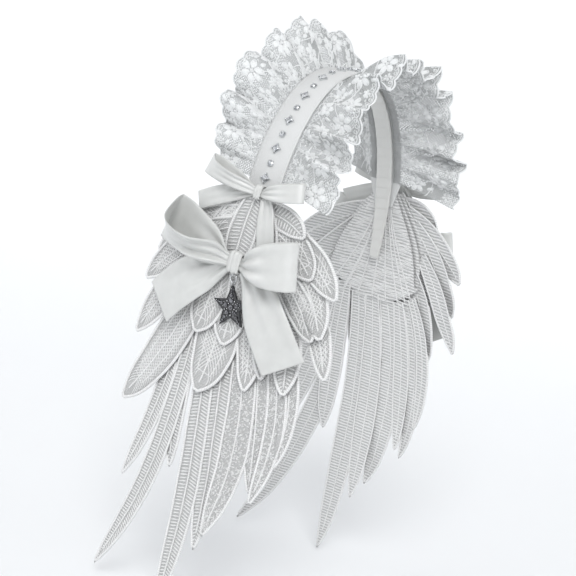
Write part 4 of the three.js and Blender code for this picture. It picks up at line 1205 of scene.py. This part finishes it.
def square_stone():
    setting = cylinder(4, SQUARE_REACH, 1.2, 0, 0, 0.6)
    edit("EDGE", lambda a, b: abs(a.z - b.z) < 0.01)
    bpy.ops.mesh.subdivide(number_cuts=3)
    bpy.ops.object.mode_set(mode="OBJECT")
    for vertex in setting.data.vertices:
        x, y = abs(vertex.co.x) * 1000, abs(vertex.co.y) * 1000
        hollow = 1 - 0.2 * (1 - abs(x - y) / SQUARE_REACH)
        vertex.co.x *= hollow
        vertex.co.y *= hollow
    inset_top(silver, 1.1, (0.45, 0), (0.05, -0.5))
    stone = start_form(
        "cube", size=0.0036, location=(0, 0, 0.0012), rotation=(0, 0, math.pi / 4), scale=(1, 1, 0.42)
    )
    edit("EDGE", lambda a, b: abs(a.z - b.z) > 1)
    bpy.ops.mesh.bevel(offset=0.0004, segments=1)
    inset_top(crystal, 1.9, (0.4, 0.28), (0.55, 0.22))
    claws = [claw(x * 2.55, y * 2.55, 2.1, 0.55) for x, y in ((1, 0), (0, 1), (-1, 0), (0, -1))]
    return join_forms("square stone", [setting, stone, *claws])


def round_stone():
    cup = cylinder(20, ROUND_REACH, 1.1, 0, 0, 0.55)
    inset_top(silver, 1.0, (0.3, 0), (0.05, -0.4))
    stone = cylinder(12, 1.68, 1.3, 0, 0, 0.95)
    inset_top(crystal, 1.55, (0.38, 0.26), (0.5, 0.2))
    claws = [claw(x * 1.35, y * 1.35, 1.75, 0.34) for x, y in ((1, 1), (-1, 1), (-1, -1), (1, -1))]
    return join_forms("round stone", [cup, stone, *claws])


# A copy of a model in its place, or mirrored from there to the other side.
def place_copy(model, name, placed, node, mirrored=False):
    piece = model.copy()
    piece.data = model.data.copy()
    piece.name = piece.data.name = name
    piece.data.transform(placed)
    if mirrored:
        piece.data.transform(Matrix.Scale(-1, 4, (1, 0, 0)))
        piece.data.flip_normals()
    bpy.context.scene.collection.objects.link(piece)
    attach(piece, "root")
    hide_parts(node)


models = {"square": square_stone(), "round": round_stone()}
reach = np.interp(WING_TOP, -arch_z, arch_s) - STONE_TO_WING - SQUARE_ROOM
for i in range(-STONES_EACH_SIDE, STONES_EACH_SIDE + 1):
    kind = "square" if (STONES_EACH_SIDE - i) % 2 == 0 else "round"
    number = f"{i + STONES_EACH_SIDE + 1:02d}"
    s = i * reach / STONES_EACH_SIDE
    spot, over = (Vector(on_hoop(s, 0, height)) for height in (STONE_SEAT, STONE_SEAT + 1))
    upward = (over - spot).normalized()
    along = Vector((0, 1, 0)).cross(upward)
    turned = Matrix((along, Vector((0, 1, 0)), upward)).transposed().to_4x4()
    placed = Matrix.Translation(spot / 1000) @ turned
    place_copy(models[kind], f"set_stone_{number}", placed, f"stone_{number}_{kind}")
for model in models.values():
    bpy.data.objects.remove(model)

# Star drops. A black enamelled star with a raised rim, set close with small dark stones held by silver
# grains. Its eye hangs in a silver jump ring, which a loop of thread ties under the large bow's knot.
# The star is made flat, with y down from the ring's middle, and then laid on the wing.
STAR_RADIUS = 14
STAR_WAIST = 0.46
STAR_THICKNESS = 1.6
STAR_LEAN = math.radians(8)
RING_RADIUS = 2.3
RING_WIRE = 0.8
EYE_RADIUS = 1.7
EYE_WIRE = 0.7

enamel = worn_material(
    "black enamel", (0.008, 0.008, 0.01), (0.03, 0.03, 0.034), 350.0, 0.08, 0.3, Coat_Weight=0.6
)
jet = stone_material("dark stone", (0.008, 0.008, 0.01), (0.24, 0.24, 0.26), 1100.0, 0.05, Metallic=0.7)

wide_bow = Bow(BOWS["large"])
knot_side = wide_bow.pinch / 2 + wide_bow.slack + 1.6
ring_v = wide_bow.v + knot_side + 0.3 + RING_RADIUS + RING_WIRE / 2
ring_spot = on_wing(wide_bow.u, ring_v, WING_FRONT + 0.3 + EYE_RADIUS + EYE_WIRE / 2)
eye_centre = RING_RADIUS + (EYE_RADIUS - EYE_WIRE / 2 - RING_WIRE / 2) * 0.5
star_centre = eye_centre + EYE_RADIUS + STAR_RADIUS - EYE_WIRE


def star_form():
    under = (0, 0, -STAR_THICKNESS / 2000)
    star = start_form("circle", vertices=10, radius=STAR_RADIUS / 1000, fill_type="NGON", location=under)
    for k, vertex in enumerate(star.data.vertices):
        if k % 2 == 0:
            vertex.co.x *= STAR_WAIST
            vertex.co.y *= STAR_WAIST
    bpy.ops.object.mode_set(mode="EDIT")
    bpy.ops.mesh.select_all(action="SELECT")
    bpy.ops.mesh.normals_make_consistent(inside=False)
    bpy.ops.mesh.extrude_region_move(TRANSFORM_OT_translate={"value": (0, 0, STAR_THICKNESS / 1000)})
    bpy.ops.mesh.select_all(action="SELECT")
    bpy.ops.mesh.normals_make_consistent(inside=False)
    inset_top(enamel, 0.7, (0.25, 0.12), (0.45, 0), (0.1, -0.25))
    star.data.transform(Matrix.Translation((0, star_centre / 1000, 0)))
    return star


def star_stone(x, y, radius):
    cylinder(8, radius, 0.9, x, y, 0.95)
    return inset_top(jet, 1.3, (radius * 0.3, 0.25), (radius * 0.22, 0.12))


def silver_grain(x, y, radius):
    place = (x / 1000, y / 1000, 0.00125)
    grain = start_form("ico_sphere", subdivisions=1, radius=radius / 1000, location=place)
    grain.data.materials.append(silver)
    grain.data.shade_smooth()
    return grain


def wire_ring(radius, wire, steps, **place):
    sizes = {"major_radius": radius / 1000, "minor_radius": wire / 2000}
    ring = start_form("torus", **sizes, major_segments=steps, minor_segments=10, **place)
    ring.data.materials.append(silver)
    ring.data.shade_smooth()
    return ring


# Stones and grains along each point: share of the way to its tip, turn from it and radius.
POINT_STONES = ((0.3, 0, 1.4), (0.52, 0, 1.05), (0.7, 0, 0.72))
POINT_GRAINS = (
    (0.2, math.pi / 5, 0.42),
    (0.34, math.pi / 5, 0.5),
    (0.42, 0.22, 0.32),
    (0.42, -0.22, 0.32),
    (0.62, 0, 0.3),
    (0.82, 0, 0.34),
)
forms = [star_form(), star_stone(0, star_centre, 1.55)]
for k in range(5):
    tip = 2 * math.pi * k / 5
    for make, places in ((star_stone, POINT_STONES), (silver_grain, POINT_GRAINS)):
        for share, turn, radius in places:
            reach = share * STAR_RADIUS
            x, y = reach * math.sin(tip + turn), star_centre - reach * math.cos(tip + turn)
            forms.append(make(x, y, radius))
eye = wire_ring(EYE_RADIUS, EYE_WIRE, 28, location=(0, eye_centre / 1000, 0), rotation=(0, math.pi / 2, 0))
star_model = join_forms("star model", [*forms, eye])
ring_model = wire_ring(RING_RADIUS, RING_WIRE, 32)
c, s = math.cos(STAR_LEAN), math.sin(STAR_LEAN)
turned = Matrix(((0, c, -s), (0, -s, -c), (-1, 0, 0))).transposed().to_4x4()
placed = Matrix.Translation(Vector(ring_spot) / 1000) @ turned
for model, name, slot, node in (
    (star_model, "star_drop", "star", "star"),
    (ring_model, "jump_ring", "ring_metal", "star_ring"),
):
    for side in ("right", "left"):
        place_copy(model, f"{name}_{side}", placed, f"{node}_{side}", side == "left")
    bpy.data.objects.remove(model)

# The thread loop that ties the ring to the knot.
angle = np.linspace(0, 2 * math.pi, 22)[None, :]
thread_v = ring_v - RING_RADIUS - 1.1 + 1.9 * np.cos(angle)
thread_h = WING_FRONT + 2.6 + 1.5 * np.sin(angle)
thread_u = wide_bow.u + 0.25 * np.sin(2 * angle)
path = on_wing(thread_u, thread_v, thread_h)
out = np.broadcast_to(np.array([0.0, 1.0, 0.0]), path.shape)
add_pair("star_thread", *lay_threads(path, out, 0.5, 0.5, 6), "satin_ribbon", [sewing_thread])

# The plain floor under the wings' tips, which rises all round into a backdrop, four soft lamps, the last
# of them on the backdrop, and the camera.
FLOOR_DROP = 0.004
FLOOR_RADIUS = 5
FLOOR_WALL = 4
FLOOR_COVE = 1.8

floor_top = cad_bounds[0].z - FLOOR_DROP
place = (0, 0, floor_top + FLOOR_WALL / 2)
floor = start_form(
    "cylinder", vertices=96, radius=FLOOR_RADIUS, depth=FLOOR_WALL, end_fill_type="NGON", location=place
)
edit("FACE", lambda centre, normal: normal.z > 0.9)
bpy.ops.mesh.delete(type="FACE")
edit("EDGE", lambda a, b: max(a.z, b.z) < floor_top * 1000 + 1)
bpy.ops.mesh.bevel(offset=FLOOR_COVE, segments=14)
bpy.ops.mesh.select_all(action="SELECT")
bpy.ops.mesh.flip_normals()
bpy.ops.object.mode_set(mode="OBJECT")
floor.name = "floor"
floor.data.shade_smooth()
floor_paint, shader = new_material("floor paint", (0.82, 0.83, 0.84), 0.85)
two_tones(floor_paint, shader, object_noise(floor_paint, 1.5, 2.0), (0.8, 0.81, 0.82), (0.84, 0.85, 0.86))
floor.data.materials.append(floor_paint)

world = bpy.data.worlds.new("studio")
bpy.context.scene.world = world
world.use_nodes = True
world.node_tree.nodes["Background"].inputs["Color"].default_value = (0.97, 0.98, 1, 1)
world.node_tree.nodes["Background"].inputs["Strength"].default_value = 0.67
middle = Vector((0, 0, -0.124))
for name, place, target, size, power in (
    ("key", (-3.2, -1.9, 3.2), (0, 0, 0), 2.2, 117),
    ("fill", (3.0, -3.2, 1.2), (0, 0, 0), 3.4, 28),
    ("rim", (-0.8, 3.6, 2.2), (0, 0, 0), 2.6, 35),
    ("backdrop", (1.6, 1.0, 2.4), (4.5, 2.8, 0), 2.0, 40),
):
    lamp = bpy.data.objects.new(name, bpy.data.lights.new(name, "AREA"))
    lamp.data.size = size
    lamp.data.energy = power
    lamp.location = middle + Vector(place)
    lamp.rotation_euler = (Vector(target) - Vector(place)).to_track_quat("-Z", "Y").to_euler()
    bpy.context.scene.collection.objects.link(lamp)

AZIMUTH = math.radians(-58)
ELEVATION = math.radians(10)
ROLL = math.radians(-10.5)
DISTANCE = 1.0
SHIFT_ACROSS = -26 / 576
SHIFT_UP = -25.2 / 576
level_share = math.cos(ELEVATION)
back = Vector((math.sin(AZIMUTH) * level_share, -math.cos(AZIMUTH) * level_share, math.sin(ELEVATION)))
level = Vector((math.cos(AZIMUTH), math.sin(AZIMUTH), 0))
upright = back.cross(level)
right = level * math.cos(ROLL) - upright * math.sin(ROLL)
up = level * math.sin(ROLL) + upright * math.cos(ROLL)
camera = bpy.data.objects.new("camera", bpy.data.cameras.new("camera"))
camera.data.sensor_width = 36
camera.data.lens = 95
camera.data.shift_x = SHIFT_ACROSS
camera.data.shift_y = SHIFT_UP
camera.data.clip_start = 0.05
camera.data.clip_end = 60
turned = Matrix((right, up, back)).transposed().to_4x4()
camera.matrix_world = Matrix.Translation(middle + back * DISTANCE) @ turned
bpy.context.scene.collection.objects.link(camera)
bpy.context.scene.camera = camera
bpy.context.scene.view_settings.view_transform = "Standard"
